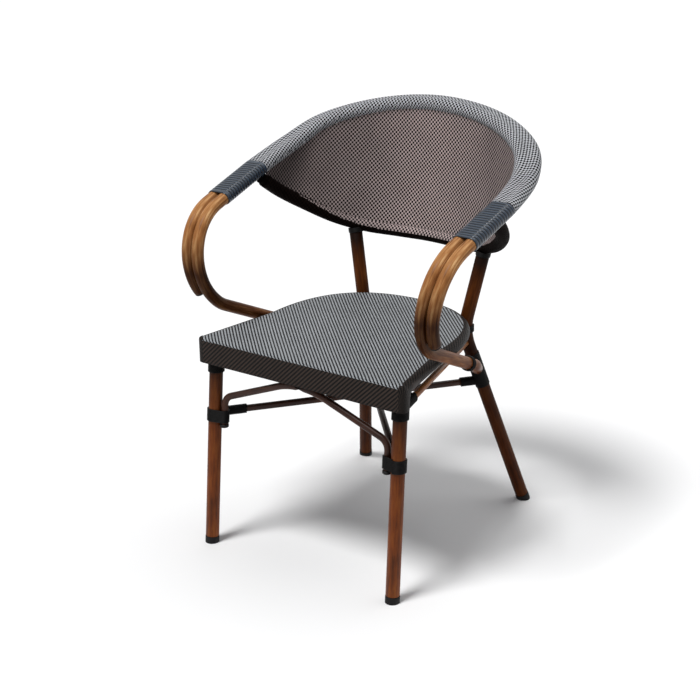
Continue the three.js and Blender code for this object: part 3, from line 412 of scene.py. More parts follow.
def tube(name, line, radius, material, node, sides=28, rounding=0.8):
    """A round bar along a line with slightly softened ends."""
    bases = frames(line)
    rings = [(line[0], bases[0], radius - rounding, 0.0)]
    length = rounding
    rings.append((line[0] + bases[0][0] * rounding, bases[0], radius, length))
    for i in range(1, len(line) - 1):
        length += (line[i] - line[i - 1]).length
        rings.append((line[i], bases[i], radius, length))
    length += (line[-1] - line[-2]).length
    rings.append((line[-1] - bases[-1][0] * rounding, bases[-1], radius, length - rounding))
    rings.append((line[-1], bases[-1], radius - rounding, length))
    points, along = [], []
    for centre, (_, u, v), reach, done in rings:
        for x, y, _, _ in circle_section(reach, sides):
            points.append(centre + u * x + v * y)
            along.append(metres(x, y, done))
    make(name, points, ring_faces(len(rings), sides), [material], node, along=along, sharp=sharp_edge)


def thin_bar(name, ends, material, node):
    """A thin bar between two legs, let a little way into both."""
    front, rear = ends
    inset = (rear - front).normalized() * (leg_radius - bar_sink)
    tube(name, [front + inset, front.lerp(rear, 0.5), rear - inset], brace_radius, material, node)


def coil(name, start, axis, across, section, length, turns, thickness, material, node, fill=0.97, closed=0):
    """One strand wound round a section, from the start along the axis, with closed turns at either end. fill is the
    strand's width as a share of the pitch."""
    axis = axis.normalized()
    u = squared(across, axis)
    v = axis.cross(u)
    half = length / turns * fill / 2
    usable = length - 2 * half
    advancing = turns * len(section)
    total = advancing + 2 * closed * len(section)
    points, along, travelled, before = [], [], 0.0, None
    for step in range(total + 1):
        x, y, nx, ny = section[step % len(section)]
        share = min(1, max(0, (step - closed * len(section)) / advancing))
        centre = start + axis * (half + usable * share) + u * x + v * y
        normal = u * nx + v * ny
        if before:
            travelled += (centre - before).length
        before = centre
        for wide, high in strand_profile:
            points.append(centre + axis * (wide * half) + normal * (high * thickness))
            along.append(metres(wide * half, high * thickness, travelled))
    make(name, points, ring_faces(total + 1, len(strand_profile)), [material], node, along=along)


def lashed(name, start, end, distance, length, radius, node, thickness=lashing_thickness, pitch=lashing_pitch):
    """Cord wound round a bar, from a distance along it."""
    axis = (end - start).normalized()
    coil(name, start + axis * distance, axis, axis.orthogonal(), circle_section(radius + gap), length,
         round(length / pitch), thickness - strand_play, lashing_finish, node)


# Materials

mix_first, mix_second, mix_result = 6, 7, 2   # the colour sockets of Blender's Mix node
weave_repeat = 4


def linear(code):
    """An sRGB colour code as linear light."""
    channels = [((code >> s) & 255) / 255 for s in (16, 8, 0)]
    return [c / 12.92 if c <= 0.04045 else ((c + 0.055) / 1.055) ** 2.4 for c in channels] + [1]


def grey(level):
    return level, level, level, 1


def add_node(tree, kind, inputs=(), **settings):
    """A new node. Each of its inputs, by name or number, takes a value or another node's output."""
    made = tree.nodes.new(kind)
    for key, value in settings.items():
        setattr(made, key, value)
    for key, value in dict(inputs).items():
        if isinstance(value, (int, float, list, tuple)):
            made.inputs[key].default_value = value
        else:
            tree.links.new(value, made.inputs[key])
    return made


class Paint:
    """A node material with short helpers."""

    def __init__(self, name, roughness=0.5, coat=0.0, shine=0.5, coat_roughness=0.12):
        self.material = bpy.data.materials.new(name)
        self.material.use_nodes = True
        self.tree = self.material.node_tree
        self.shader = self.tree.nodes["Principled BSDF"]
        self.shader.inputs["Roughness"].default_value = roughness
        self.shader.inputs["Coat Weight"].default_value = coat
        self.shader.inputs["Coat Roughness"].default_value = coat_roughness
        self.shader.inputs["Specular IOR Level"].default_value = shine

    def node(self, kind, inputs=(), **settings):
        return add_node(self.tree, kind, inputs, **settings)

    def maths(self, operation, *values):
        return self.node("ShaderNodeMath", enumerate(values), operation=operation).outputs[0]

    def spread(self, value, low, high):
        """A value from 0 to 1, laid out from low to high."""
        return self.maths("MULTIPLY_ADD", value, high - low, low)

    def place(self, kind="along"):
        """Where a point is: across and along its bar or strand, in the flat weave, or in the frame."""
        if kind == "along":
            return self.node("ShaderNodeAttribute", attribute_name="along").outputs["Vector"]
        if kind == "weave":
            return self.node("ShaderNodeUVMap", uv_map="weave").outputs["UV"]
        return self.node("ShaderNodeNewGeometry").outputs["Position"]

    def parts(self, vector):
        return self.node("ShaderNodeSeparateXYZ", {0: vector}).outputs

    def drawn_out(self, vector, share):
        """A place whose way along counts for a share, so that a pattern in it is longer than wide."""
        return self.node("ShaderNodeMapping", {"Vector": vector, "Scale": (1, 1, share)}).outputs[0]

    def noise(self, vector, scale, detail=3.0, roughness=0.5):
        inputs = {"Vector": vector, "Scale": scale, "Detail": detail, "Roughness": roughness}
        return self.node("ShaderNodeTexNoise", inputs).outputs["Fac"]

    def ramp(self, factor, stops):
        made = self.node("ShaderNodeValToRGB", {0: factor})
        elements = made.color_ramp.elements
        elements[0].position, elements[0].color = stops[0]
        elements[1].position, elements[1].color = stops[-1]
        for position, color in stops[1:-1]:
            elements.new(position).color = color
        return made.outputs[0]

    def mix(self, factor, first, second, kind="MIX"):
        inputs = {"Factor": factor, mix_first: first, mix_second: second}
        return self.node("ShaderNodeMix", inputs, data_type="RGBA", blend_type=kind).outputs[mix_result]

    def shaded(self, color, shade):
        return self.mix(1.0, color, shade, "MULTIPLY")

    def drive(self, name, source):
        """Links one of the shader's sockets to a value that varies over the surface."""
        self.tree.links.new(source, self.shader.inputs[name])

    def bump(self, height, distance, strength):
        inputs = {"Height": height, "Distance": distance, "Strength": strength}
        self.drive("Normal", self.node("ShaderNodeBump", inputs).outputs[0])


def rattan(name, dark, middle, light, roughness, coat, shine=0.25, painted_shade=None):
    """A lacquered print of peeled rattan: long soft streaks with darker flecks. The last argument is (height in
    metres, red, green, blue) by which the colour is darkened: painted shade, lighter high up and darker low down."""
    paint = Paint(name, roughness, coat, shine, coat_roughness=0.28)
    place = paint.place()
    streaks = paint.noise(paint.drawn_out(place, 0.07), scale=260, detail=4, roughness=0.6)
    clouds = paint.noise(paint.drawn_out(place, 0.5), scale=34, detail=2)
    flecks = paint.noise(paint.drawn_out(place, 0.16), scale=620, detail=2)
    streak_share, fleck_strength, uneven = 0.55, 0.35, 0.07
    blend = paint.maths("ADD", paint.maths("MULTIPLY", streaks, streak_share),
                        paint.maths("MULTIPLY", clouds, 1 - streak_share))
    color = paint.ramp(blend, [(0.34, linear(dark)), (0.5, linear(middle)), (0.66, linear(light))])
    fleck = paint.ramp(flecks, [(0.62, grey(0)), (0.72, grey(1))])
    color = paint.mix(paint.maths("MULTIPLY", fleck, fleck_strength), color, linear(dark))
    # Painted shade: the colour is darkened by height, lighter high up and darker low down where shade falls.
    if painted_shade:
        height = paint.parts(paint.place("frame"))["Z"]
        color = paint.shaded(color, paint.ramp(height, [(at, (*share, 1)) for at, *share in painted_shade]))
    paint.drive("Base Color", color)
    paint.drive("Roughness", paint.spread(streaks, roughness - uneven, roughness + uneven))
    paint.bump(streaks, distance=0.00025, strength=0.5)
    return paint.material


def strand(name, dark, light, roughness, coat, shine, half):
    """Extruded cord: a smooth skin, a little uneven along its length, with painted shade toward its edges where turns
    meet. half is half its width in metres."""
    paint = Paint(name, roughness, coat, shine)
    place = paint.place()
    uneven = 0.05
    tone = paint.noise(paint.drawn_out(place, 0.3), scale=90)
    # Painted shade where turns meet: the colour darkens toward the strand's edges.
    across = paint.maths("DIVIDE", paint.maths("ABSOLUTE", paint.parts(place)["X"]), half)
    edge = paint.ramp(across, [(0.35, grey(1)), (0.95, grey(0.12))])
    paint.drive("Base Color", paint.shaded(paint.mix(tone, linear(dark), linear(light)), edge))
    paint.drive("Roughness", paint.spread(tone, roughness - uneven, roughness + uneven))
    return paint.material


def plain(name, color, roughness, speck=0.15, scale=700):
    """Moulded plastic, rubber or painted metal with a fine grain."""
    paint = Paint(name, roughness, shine=0.2)
    uneven = 0.1
    grain = paint.noise(paint.place("frame"), scale)
    base = linear(color)
    bright = [min(1, c * (1 + speck * 2)) for c in base[:3]] + [1]
    paint.drive("Base Color", paint.mix(grain, base, bright))
    paint.drive("Roughness", paint.spread(grain, roughness - uneven, roughness + uneven))
    paint.bump(grain, distance=0.00008, strength=0.4)
    return paint.material


def woven(name, dark, light, pitch, group=1, lean=1, roughness=0.5, shine=0.1, ends=None):
    """Coated yarns, light ones crossing dark ones, over two and under two, with painted shade in the grooves between
    yarns. pitch is the yarns' spacing in metres across and along; group is 1 for a twill and 2 for a basket weave;
    lean is the twill's slant. ends is (distance from the chair's middle in metres, grey level) pairs by which the
    colour is darkened as painted shade toward the cloth's ends."""
    paint = Paint(name, roughness, shine=shine)
    place = paint.place("weave")
    ways = [paint.maths("DIVIDE", way, step) for way, step in zip(paint.parts(place)[:2], pitch)]
    blocks = [paint.maths("MULTIPLY", paint.maths("FLOOR", paint.maths("DIVIDE", way, group)), group) for way in ways]
    order = paint.maths("FLOORED_MODULO", paint.maths("MULTIPLY_ADD", blocks[1], lean, blocks[0]), weave_repeat)
    over = paint.maths("LESS_THAN", order, weave_repeat / 2 - 0.5)
    rounds = [paint.maths("SINE", paint.maths("MULTIPLY", paint.maths("FRACT", way), pi)) for way in ways]
    height = paint.maths("ADD", paint.maths("MULTIPLY", over, rounds[1]),
                         paint.maths("MULTIPLY", paint.maths("SUBTRACT", 1, over), rounds[0]))
    worn = paint.spread(paint.noise(place, scale=16), 0.75, 1.25)
    # Painted shade: each yarn darkens toward its edges and the grooves between yarns go nearly black; the noise is an
    # uneven tone.
    shade = paint.maths("MULTIPLY", paint.spread(height, 0.15, 1), worn)
    color = paint.mix(over, linear(dark), linear(light))
    color = paint.shaded(color, paint.ramp(shade, [(0, grey(0.05)), (1, grey(1))]))
    # Painted shade toward the ends of the cloth, where it lies in shadow.
    if ends:
        span = paint.maths("ABSOLUTE", paint.parts(paint.place("frame"))["X"])
        color = paint.shaded(color, paint.ramp(span, [(at, grey(level)) for at, level in ends]))
    paint.drive("Base Color", color)
    paint.drive("Roughness", paint.spread(height, roughness + 0.08, roughness - 0.07))
    paint.bump(height, distance=0.0006, strength=0.7)
    return paint.material


# Painted shade by height: the arms' lower runs are darkened and their upper loops kept light, as light falls from
# above.
arm_painted_shade = [
    (0.36, 0.22, 0.12, 0.06), (0.46, 0.36, 0.25, 0.18), (0.51, 0.1, 0.066, 0.04), (0.57, 0.1, 0.066, 0.04),
    (0.65, 0.72, 0.64, 0.58), (0.71, 1, 1, 1),
]
# Painted shadow of the seat: the front legs darken toward their tops, and are tinted warmer toward the feet.
front_leg_painted_shade = [(0.1, 1, 0.9, 0.7), (0.25, 0.74, 0.66, 0.5), (0.42, 0.03, 0.03, 0.04)]
# Painted shade on the rear legs: dark under the chair and near the top under the bottom rail, lighter between.
rear_leg_painted_shade = [(0.08, 0.4, 0.36, 0.3), (0.38, 0.12, 0.11, 0.1), (0.5, 0.5, 0.5, 0.45), (0.57, 0.06, 0.06, 0.06)]
panel_end_painted_shade = [(0.04, 1), (0.15, 0.7), (0.24, 0.62), (0.262, 0.3)]
leg_colors = (0x4A240C, 0x723A15, 0x8A5020)
arm_finish = rattan("arm_rattan", 0x5E361A, 0xB07C4C, 0xE8C08C, roughness=0.36, coat=0.08, shine=0.03, painted_shade=arm_painted_shade)
front_leg_finish = rattan("front_leg_rattan", *leg_colors, roughness=0.45, coat=0.04, shine=0.12, painted_shade=front_leg_painted_shade)
rear_leg_finish = rattan("rear_leg_rattan", *leg_colors, roughness=0.5, coat=0, shine=0.06, painted_shade=rear_leg_painted_shade)
brace_finish = rattan("brace_rattan", 0x180A06, 0x30180E, 0x46281A, roughness=0.4, coat=0.1, shine=0.15)
side_finish = rattan("side_rattan", 0x66381C, 0x9A6030, 0xBE8648, roughness=0.34, coat=0.2)
winding_finish = strand("slate_strand", 0x101C28, 0x273A4E, roughness=0.2, coat=0.22, shine=0.3,
                        half=winding_half / per_metre)
lashing_finish = strand("black_cord", 0x060606, 0x100E0E, roughness=0.5, coat=0.0, shine=0.12,
                        half=lashing_half / per_metre)
glide_finish = plain("glide_rubber", 0x0C0A0A, roughness=0.6)
cap_finish = plain("plug_ring", 0x0C0A0A, roughness=0.5)
bare_finish = plain("painted_tube", 0x1E1410, roughness=0.5, speck=0.1, scale=300)
seat_top_finish = woven("seat_weave", 0x060708, 0xB2B6BA, (0.00214, 0.00229))
# The apron's weave is darker than the top's, partly as its own tone and partly as painted shade; the roll's darker
# weave is painted shade where the cloth turns down over the seat's tube.
apron_tone_and_shade_finish = woven("apron_tone_and_shade_weave", 0x050404, 0x40342E, (0.0023, 0.00223), lean=-1)
roll_shade_finish = woven("roll_shade_weave", 0x050404, 0x302824, (0.0023, 0.0023))
back_finish = woven("back_weave", 0x060505, 0xDCC8C5, (0.00203, 0.00223), group=2, ends=panel_end_painted_shade)
band_finish = woven("band_weave", 0x08090A, 0xD6D8DD, (0.00203, 0.00223), group=2)
# Painted shade: a darker copy of the back's cloth, for where the rail turns away from the light.
rail_shaded_finish = woven("rail_shaded_weave", 0x040202, 0x180F0C, (0.0022, 0.0022), group=2, roughness=0.7, shine=0.02)

# Tubes

for side, name in both_sides:
    foot, top = front_leg(side)
    axis = (top - foot).normalized()
    tube(f"front_leg_tube_{name}", [foot + axis * glide_height, foot.lerp(top, 0.5), top], leg_radius,
         front_leg_finish, f"front_leg_{name}")
    foot, bend, top = rear_leg(side)
    axis = (bend - foot).normalized()
    line = Path(bent([foot + axis * glide_height, bend, top], [knee_bend]))
    tube(f"rear_leg_tube_{name}", line.cut(0, line.total - rail_radius - gap), leg_radius, rear_leg_finish,
         f"rear_leg_{name}")
    inner = Path(bent(arm_corners(side), arm_bends))
    tube(f"arm_inner_{name}", inner.cut(0, inner.total - leg_radius - gap), rail_radius, arm_finish,
         f"arm_inner_tube_{name}")
    outer = Path(bent(arm_corners(side, pair_pitch), arm_bends))
    tube(f"arm_outer_{name}", outer.cut(0, arm_outer_length), rail_radius, arm_finish,
         f"arm_outer_tube_{name}")
    end = outer.at(arm_outer_length)
    ahead = outer.tangent(arm_outer_length)
    tube(f"arm_plug_{name}", [end + ahead * step for step in plug_steps], rail_radius - gap, cap_finish,
         f"arm_end_plug_{name}", rounding=cap_rounding)
    thin_bar(f"stretcher_{name}", stretcher(side), brace_finish, f"cross_stretcher_{name}")
    thin_bar(f"side_rail_{name}", side_line(side), side_finish, f"side_tube_{name}")

touch = low_rail_radius + gap + brace_radius
apex_depth = low_rail_depth + touch * cos(brace_apex_angle)
apex_height = low_rail_height - touch * sin(brace_apex_angle)
apex = (brace_apex_half, apex_depth, apex_height)
arch = bent([
    brace_beside(1, brace_end), brace_beside(1, brace_bend), point(1, apex),
    point(-1, apex), brace_beside(-1, brace_bend), brace_beside(-1, brace_end),
], brace_bends)
tube("arch_brace", arch, brace_radius, brace_finish, "front_arch_brace")

# Glides, turned and cut level with the floor


def glide(name, foot, toward, node, sides=32):
    axis = (toward - foot).normalized()
    u = axis.orthogonal().normalized()
    v = axis.cross(u)
    points = []
    for radius, height in glide_profile:
        points += [foot + axis * height + u * x + v * y for x, y, _, _ in circle_section(radius, sides)]
    body = make(name, points, ring_faces(len(glide_profile), sides), [glide_finish], node, sharp=sharp_edge)
    bm = bmesh.new()
    bm.from_mesh(body.data)
    everything = bm.verts[:] + bm.edges[:] + bm.faces[:]
    level = metres(0, 0, floor_gap)
    cut = bmesh.ops.bisect_plane(bm, geom=everything, plane_co=level, plane_no=(0, 0, -1), clear_outer=True)
    bmesh.ops.contextual_create(bm, geom=[e for e in cut["geom_cut"] if isinstance(e, bmesh.types.BMEdge)])
    bm.to_mesh(body.data)
    bm.free()


for side, name in both_sides:
    foot, top = front_leg(side)
    glide(f"front_foot_{name}", foot, top, f"front_glide_{name}")
    foot, bend, _ = rear_leg(side)
    glide(f"rear_foot_{name}", foot, bend, f"rear_glide_{name}")

# Windings and lashings

for side, name in both_sides:
    middle, back = pair(side)
    coil(f"arm_wrapping_{name}", middle - back * winding_start, back, Vector((side, 0, 0)),
         pair_section(rail_radius + wrap_gap), winding_length, winding_turns, winding_thickness, winding_finish,
         f"arm_winding_{name}", winding_fill, closed_turns)

    foot, top = front_leg(side)
    coil(f"front_lashing_{name}", at_height(foot, top, front_collar_height), (top - foot).normalized(),
         Vector((-side, 0, 0)), two_bar_section(leg_radius + gap, brace_radius + gap, brace_offset),
         front_collar_length, front_collar_turns, lashing_thickness - strand_play, lashing_finish,
         f"front_collar_{name}")
    begin = at_height(foot, top, apron_bottom - gap - leg_top_wrap)
    lashed(f"leg_top_lashing_{name}", begin, top, 0, leg_top_wrap, leg_radius, f"front_leg_top_wrap_{name}")

    low = brace_beside(side, brace_end)
    cap = [low + Vector((0, 0, rise)) for rise in (-cap_below, 0, cap_above)]
    tube(f"brace_cap_{name}", cap, brace_radius + cap_wall, cap_finish, f"brace_end_cap_{name}",
         rounding=cap_rounding)

    foot, bend, top = rear_leg(side)
    begin = at_height(foot, bend, stretcher(-side)[1].z - brace_radius - rear_collar_drop)
    stop = at_height(foot, bend, rear_collar_top)
    lashed(f"rear_lashing_{name}", begin, stop, 0, (stop - begin).length, leg_radius, f"rear_collar_{name}",
           rear_lashing_thickness, rear_collar_pitch)
    curve = Path(bent([foot, bend, top], [knee_bend]))
    spots = [curve.total * i / knee_steps for i in range(knee_steps)]
    spot = min(spots, key=lambda length: abs(curve.at(length).z - knee_wrap_height))
    lashed(f"knee_lashing_{name}", curve.at(spot), curve.at(spot + knee_wrap_length), 0, knee_wrap_length, leg_radius,
           f"knee_wrap_{name}")
    begin = top + (bend - top).normalized() * (back_wrap + rail_radius + back_wrap_clearance)
    lashed(f"back_lashing_{name}", begin, top, 0, back_wrap + back_wrap_rest, leg_radius, f"back_wrap_{name}",
           rear_lashing_thickness)

    for bar, (begin, stop), length, node in (
        ("stretcher_front", stretcher(side), stretcher_front_wrap, "stretcher_wrap_front"),
        ("stretcher_rear", stretcher(-side)[::-1], stretcher_rear_wrap, "stretcher_wrap_rear"),
        ("side_rail", side_line(side), side_tube_wrap, "side_tube_socket"),
    ):
        lashed(f"{bar}_lashing_{name}", begin, stop, leg_radius, length, brace_radius, f"{node}_{name}")
    _, _, low, under, _ = arm_corners(side)
    lashed(f"arm_foot_lashing_{name}", under, low, arm_wrap_distance, arm_wrap_length, rail_radius, f"arm_wrap_{name}")

# Seat

top_slot, apron_slot, roll_slot = 0, 1, 2


def seat_outline(inset, corner, corner_steps=10, back_steps=60, side_steps=24, front_steps=60):
    """The seat's edge, drawn in by an inset, as (place, outward normal), counter-clockwise from the front's middle."""
    front, back, turn = seat_front + inset, seat_front + seat_depth - inset, seat_front + seat_side_depth
    wide, narrow = seat_front_half - inset, seat_rear_half - inset
    corner_width = wide + (narrow - wide) * corner / (turn - front)
    half = [((wide - corner) * i / front_steps, front) for i in range(front_steps + 1)]
    for i in range(1, corner_steps + 1):
        t = i / corner_steps
        bend = (wide - corner, front), (wide, front), (corner_width, front + corner)
        half.append(tuple((1 - t) ** 2 * p + 2 * t * (1 - t) * q + t * t * r for p, q, r in zip(*bend)))
    for i in range(1, side_steps + 1):
        t = i / side_steps
        half.append((corner_width + (narrow - corner_width) * t, front + corner + (turn - front - corner) * t))
    full_depth = turn + (back - turn) * round_back
    bend = (narrow, turn), (narrow, full_depth), (narrow * round_back, back), (0, back)
    for i in range(1, back_steps + 1):
        t = i / back_steps
        weights = ((1 - t) ** 3, 3 * t * (1 - t) ** 2, 3 * t * t * (1 - t), t ** 3)
        half.append(tuple(sum(w * q[axis] for w, q in zip(weights, bend)) for axis in (0, 1)))
    loop = half + [(-x, y) for x, y in reversed(half[1:-1])]
    result = []
    for i, place in enumerate(loop):
        before, after = loop[i - 1], loop[(i + 1) % len(loop)]
        tangent = Vector((after[0] - before[0], after[1] - before[1])).normalized()
        result.append((Vector(place), Vector((tangent.y, -tangent.x))))
    return result


def raised(place, below):
    """A place in the seat's plane, so far below its top, tipped with the seat."""
    angle = atan(seat_rise)
    dy, dz = place.y - low_rail_depth, seat_height - below - low_rail_height
    return Vector((place.x, low_rail_depth + dy * cos(angle) - dz * sin(angle),
                   low_rail_height + dy * sin(angle) + dz * cos(angle)))


def step_between(value, low, high):
    """A smooth step from 0 to 1."""
    t = min(1, max(0, (value - low) / (high - low)))
    return t * t * (3 - 2 * t)


def edge_section(place, normal):
    """From the seat's top over its edge: (place, depth below the top, way from the first point, finish)."""
    fold = front_fold + (roll_reach - front_fold) * step_between(place.y, seat_front, seat_front + seat_corner)
    hanging = 1 - step_between(place.y, *apron_turn)
    in_front = place.y < seat_front + front_margin
    edge_slot = apron_slot if in_front else roll_slot
    section = []
    for i in range(fold_steps + 1):
        angle = pi / 2 * i / fold_steps
        # In front the top's weave runs on round the fold, lit; below it, and along the sides, the darker weaves paint
        # the shade.
        slot = top_slot if in_front and i < fold_steps else edge_slot
        section.append((fold * (1 - sin(angle)), fold * (1 - cos(angle)), slot))
    for i in range(1, apron_steps + 1):
        drop = fold + (front_apron - fold) * i / apron_steps
        if i <= roll_steps:
            angle = pi / 2 * i / roll_steps
            inward, under = roll_reach * (1 - cos(angle)), roll_reach * (1 + sin(angle))
        else:
            inward, under = roll_reach + tuck_step * (i - roll_steps), 2 * roll_reach
        section.append((inward * (1 - hanging), under + (drop - under) * hanging, edge_slot))
    result, way = [], 0.0
    for i, (inward, below, slot) in enumerate(section):
        if i:
            way += hypot(inward - section[i - 1][0], below - section[i - 1][1])
        result.append((place - normal * inward, below, way, slot))
    return result


def seat_cloth():
    """The seat's cloth, in rows from its hidden edge to its middle, with its yarns laid straight across."""
    middle = Vector((0, seat_middle_share * seat_depth))
    points, uvs, rows = [], [], []
    for place, normal in seat_outline(0, seat_corner):
        section = edge_section(place, normal)
        edge = section[0][0]
        row = [(spot, below, edge + normal * way, slot) for spot, below, way, slot in reversed(section)]
        for i in range(1, seat_rings):
            share = i / seat_rings
            spot = edge.lerp(middle, share)
            row.append((spot, seat_sag * sin(min(1, share * sag_rate) * pi / 2) ** 2, spot, top_slot))
        rows.append(row)
    for row in rows:
        for spot, below, flat, _ in row:
            points.append(raised(spot, below))
            uvs.append(metres(flat.x, flat.y))
    points.append(raised(middle, seat_sag))
    uvs.append(metres(middle.x, middle.y))
    count, faces, slots = len(rows[0]), [], []
    for i, row in enumerate(rows):
        here, there = i * count, (i + 1) % len(rows) * count
        for k in range(count - 1):
            faces.append((here + k, there + k, there + k + 1, here + k + 1))
            slots.append(row[k + 1][3])
        faces.append((here + count - 1, there + count - 1, len(points) - 1))
        slots.append(top_slot)
    finishes = [seat_top_finish, apron_tone_and_shade_finish, roll_shade_finish]
    return make("seat_cloth", points, faces, finishes, "seat_sling", uvs=uvs, slots=slots)


def seat_ring(radius, sides=24):
    """The bent tube inside the seat's edge."""
    points, faces = [], []
    loop = seat_outline(roll_reach, ring_corner)
    for place, normal in loop:
        points += [raised(place + normal * x, roll_reach - y) for x, y, _, _ in circle_section(radius, sides)]
    for i in range(len(loop)):
        here, there = i * sides, (i + 1) % len(loop) * sides
        for k in range(sides):
            after = (k + 1) % sides
            faces.append((here + k, there + k, there + after, here + after))
    make("seat_ring", points, faces, [bare_finish], "seat_frame")


def thicken(body, thickness):
    """Gives a cloth its thickness, on the side away from its outward face."""
    modifier = body.modifiers.new("thickness", "SOLIDIFY")
    modifier.thickness = thickness / per_metre
    modifier.offset = -1
    modifier.use_even_offset = False
    return body


seat_ring(roll_reach - ring_clearance)
seat = thicken(seat_cloth(), seat_thickness)

# Cloth of the back, laid out flat from its middle so that its yarns run on over the hoop

Column = namedtuple("Column", "low high outward part hoop_length rail_length")
rail_end, hoop_end = 0, 1   # of a column laid flat


def panel_columns():
    """Straight lines across the panel, from the bottom rail to the hoop's inner tube."""
    columns = []
    for column in range(columns_across + 1):
        part = column / columns_across
        hoop_length = hoop_path.total * (panel_hoop_share + (1 - 2 * panel_hoop_share) * part)
        rail_length = rail_path.total * (panel_rail_share + (1 - 2 * panel_rail_share) * part)
        outward = outward_at(hoop_path, hoop_length)
        high = hoop_path.at(hoop_length) - outward * (pair_pitch / 2) - outward * panel_forward
        low = rail_path.at(rail_length) - outward_at(rail_path, rail_length) * panel_forward
        columns.append(Column(low, high, outward, part, hoop_length, rail_length))
    return columns


def laid_beside(first, second, to_first, to_second, side):
    """The flat place at given distances from two flat places, on one side of them."""
    across = second - first
    base = across.length
    along = (to_first ** 2 - to_second ** 2 + base ** 2) / (2 * base)
    off = sqrt(max(0, to_first ** 2 - along ** 2))
    ahead = across / base
    return first + ahead * along + Vector((ahead.y, -ahead.x)) * (off * side)


def laid_flat(columns):
    """Each column's two ends in the flat cloth."""
    middle = len(columns) // 2
    low, high = columns[middle][:2]
    flat = {middle: (Vector((0, 0)), Vector((0, (high - low).length)))}
    for side in (1, -1):
        index = middle
        while 0 <= index - side < len(columns):
            ahead = index - side
            low, high = columns[index][:2]
            next_low, next_high = columns[ahead][:2]
            flat_low, flat_high = flat[index]
            new_high = laid_beside(flat_low, flat_high, (next_high - low).length, (next_high - high).length, side)
            new_low = laid_beside(flat_low, new_high, (next_low - low).length, (next_low - next_high).length, side)
            flat[ahead] = (new_low, new_high)
            index = ahead
    return [flat[index] for index in range(len(columns))]


columns = panel_columns()
flat_columns = laid_flat(columns)


def back_panel():
    """The cloth stretched across the columns, a little hollow."""
    points, uvs, faces = [], [], []
    for column, (flat_low, flat_high) in zip(columns, flat_columns):
        for row in range(panel_rows + 1):
            share = row / panel_rows
            hollow = panel_hollow * sin(pi * share) * sin(pi * column.part)
            points.append(column.low.lerp(column.high, share) + column.outward * hollow)
            uvs.append(tuple(flat_low.lerp(flat_high, share) / per_metre))
    for column in range(columns_across):
        for row in range(panel_rows):
            a = column * (panel_rows + 1) + row
            faces.append((a, a + panel_rows + 1, a + panel_rows + 2, a + 1))
    return make("back_cloth", points, faces, [back_finish], "back_panel", uvs=uvs)


def carried_on(end, lengths, length, girth):
    """A place in the flat cloth beyond the panel's edge at one end of its columns, which lie at these lengths."""
    last = len(columns) - 1
    index = 0
    while index < last - 1 and lengths[index + 1] < length:
        index += 1
    here, there = flat_columns[index], flat_columns[index + 1]
    ahead = (there[end] - here[end]) / (lengths[index + 1] - lengths[index])
    beyond = Vector((-ahead.y, ahead.x)).normalized()
    if beyond.dot(here[end] - here[1 - end]) < 0:
        beyond.negate()
    return here[end] + ahead * (length - lengths[index]) + beyond * girth


def hoop_flat(length, girth):
    return carried_on(hoop_end, [column.hoop_length for column in columns], length, girth)


def rail_flat(length, girth):
    return carried_on(rail_end, [column.rail_length for column in columns], length, girth - pi * rail_outer)


def swept_cloth(name, path, start, end, section, flat, materials, node, finish_at):
    """A sleeve of cloth along a path, and its girth. The section is (across, up) pairs, from where the girth is
    counted; flat lays a length and a girth out; finish_at picks the material for a length and a share of the girth."""
    reach = [0.0]
    for first, second in zip(section, section[1:] + section[:1]):
        reach.append(reach[-1] + hypot(second[0] - first[0], second[1] - first[1]))
    steps, count = round((end - start) / sleeve_step), len(section)
    lengths = [start + (end - start) * i / steps for i in range(steps + 1)]
    points, uvs, slots = [], [], []
    for length in lengths:
        middle, outward = path.at(length), outward_at(path, length)
        up = outward.cross(path.tangent(length, tangent_reach)).normalized()
        if up.z < 0:
            up.negate()
        points += [middle + outward * across + up * rise for across, rise in section]
    laid = [[tuple(flat(length, girth) / per_metre) for girth in reach] for length in lengths]
    for i in range(steps):
        for k in range(count):
            uvs += [laid[i][k], laid[i][k + 1], laid[i + 1][k + 1], laid[i + 1][k]]
            slots.append(finish_at(lengths[i], k / count))
    faces = ring_faces(steps + 1, count, capped=False)
    body = make(name, points, faces, materials, node, corner_uvs=uvs, slots=slots)
    return thicken(body, cover_thickness * cover_share), reach[-1]


def draped_pair(radius, valley=2.2, steps=18, straights=8):
    """Cloth round two bars, from the inner side over the top; it sinks a little between them."""
    half, section = pair_pitch / 2, []
    for end in (-1, 1):
        for k in range(steps + 1):
            angle = pi * k / steps - pi / 2
            section.append((end * (half + radius * cos(angle)), -end * radius * sin(angle)))
        for k in range(1, straights):
            share = 1 - 2 * k / straights
            section.append((end * half * share, -end * (radius - valley * (1 - share * share) ** 2)))
    quarter = steps // 2
    return section[quarter:] + section[:quarter]


def rail_finish_at(length, share):
    """The panel's cloth covers the whole rail. Its lit weave shows on the rail's upper front, less toward its ends;
    behind and below, the darker rail weave is painted shade.
    """
    span = abs(2 * length / rail_path.total - 1)
    return 0 if lit_low + lit_low_rise * span < share < lit_high - lit_high_drop * span ** 2 else 1


panel = thicken(back_panel(), panel_thickness)

cover_start = winding_length - winding_start + 2 * gap
cover_length = hoop_path.total - 2 * cover_start
band_section = draped_pair(cover_radius + cover_thickness + cover_play)
band, girth = swept_cloth("hoop_cloth", hoop_path, cover_start, cover_start + cover_length, band_section, hoop_flat,
                          [band_finish], "hoop_cover", lambda length, share: 0)

sleeve_section = [(x, y) for x, y, _, _ in circle_section(rail_outer, sleeve_sides)]
sleeve_length = rail_path.total - 2 * rail_bare_end
sleeve, girth = swept_cloth("rail_cloth_sleeve", rail_path, rail_bare_end, rail_bare_end + sleeve_length,
                            sleeve_section, rail_flat, [back_finish, rail_shaded_finish], "bottom_rail_cover", rail_finish_at)

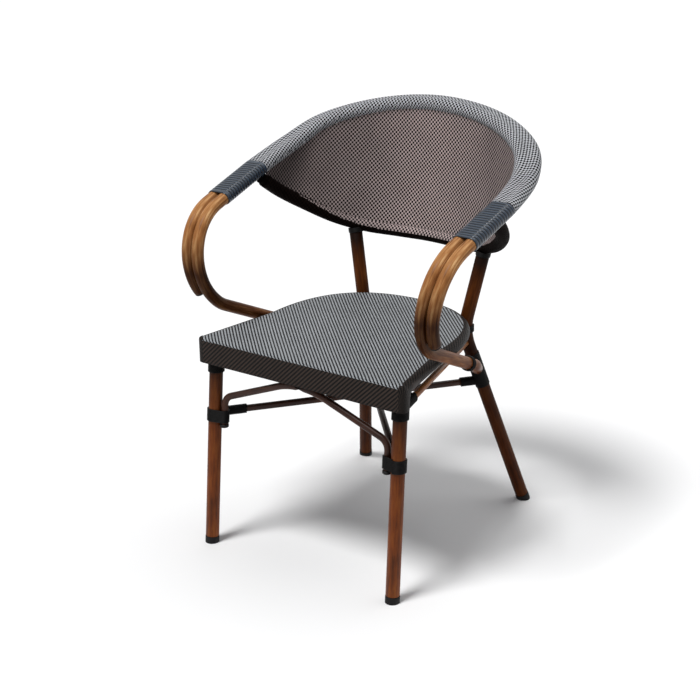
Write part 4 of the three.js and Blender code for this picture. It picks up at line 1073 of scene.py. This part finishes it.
# Nodes that keep their own shape; the bottom rail's ends look out of its cloth
for name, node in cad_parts.items():
    if not node.hide_render:
        node.data.materials.clear()
        node.data.materials.append(rail_shaded_finish if name == "bottom_rail" else bare_finish)

# Camera, light and ground

camera = placed("camera", bpy.data.cameras.new("camera"))
camera.location = (camera_place[0], camera_place[1] + shift / per_metre, camera_place[2])
camera.rotation_euler = (radians(90 - camera_down), 0, radians(camera_turn))
camera.data.sensor_width = 36
camera.data.lens = camera_lens
camera.data.clip_end = 50
scene.camera = camera

floor = bpy.data.meshes.new("ground")
floor_corners = [(x * floor_half, y * floor_half, 0) for x, y in ((-1, -1), (1, -1), (1, 1), (-1, 1))]
floor.from_pydata(floor_corners, [], [range(4)])
ground = placed("ground", floor)
ground_paint = Paint("ground_paper", roughness=0.9, shine=0.1)
ground_paint.shader.inputs["Base Color"].default_value = grey(0.9)
floor.materials.append(ground_paint.material)


def sun(name, toward, strength, angle):
    """Even light from a direction, soft by its angle in degrees."""
    data = bpy.data.lights.new(name, "SUN")
    data.energy = strength
    data.angle = radians(angle)
    placed(name, data).rotation_euler = Vector(toward).to_track_quat("Z", "Y").to_euler()


sun("key", (-0.14, -0.42, 0.9), strength=2.6, angle=18)
sun("top", (0.1, 0.35, 0.93), strength=0.8, angle=50)

world = bpy.data.worlds.new("studio")
scene.world = world
world.use_nodes = True
sky = world.node_tree
sky.nodes.clear()

# Soft light on the object, and white for the camera, reflections and glass
rays = add_node(sky, "ShaderNodeLightPath").outputs
seen = rays["Is Camera Ray"]
for ray in ("Is Glossy Ray", "Is Transmission Ray"):
    seen = add_node(sky, "ShaderNodeMath", {0: seen, 1: rays[ray]}, operation="MAXIMUM").outputs[0]
soft = add_node(sky, "ShaderNodeBackground", {"Color": (0.96, 0.97, 1, 1), "Strength": 0.22}).outputs[0]
white = add_node(sky, "ShaderNodeBackground", {"Color": grey(1), "Strength": 1.0}).outputs[0]
both = add_node(sky, "ShaderNodeMixShader", {0: seen, 1: soft, 2: white}).outputs[0]
add_node(sky, "ShaderNodeOutputWorld", {0: both})
scene.view_settings.view_transform = "Standard"
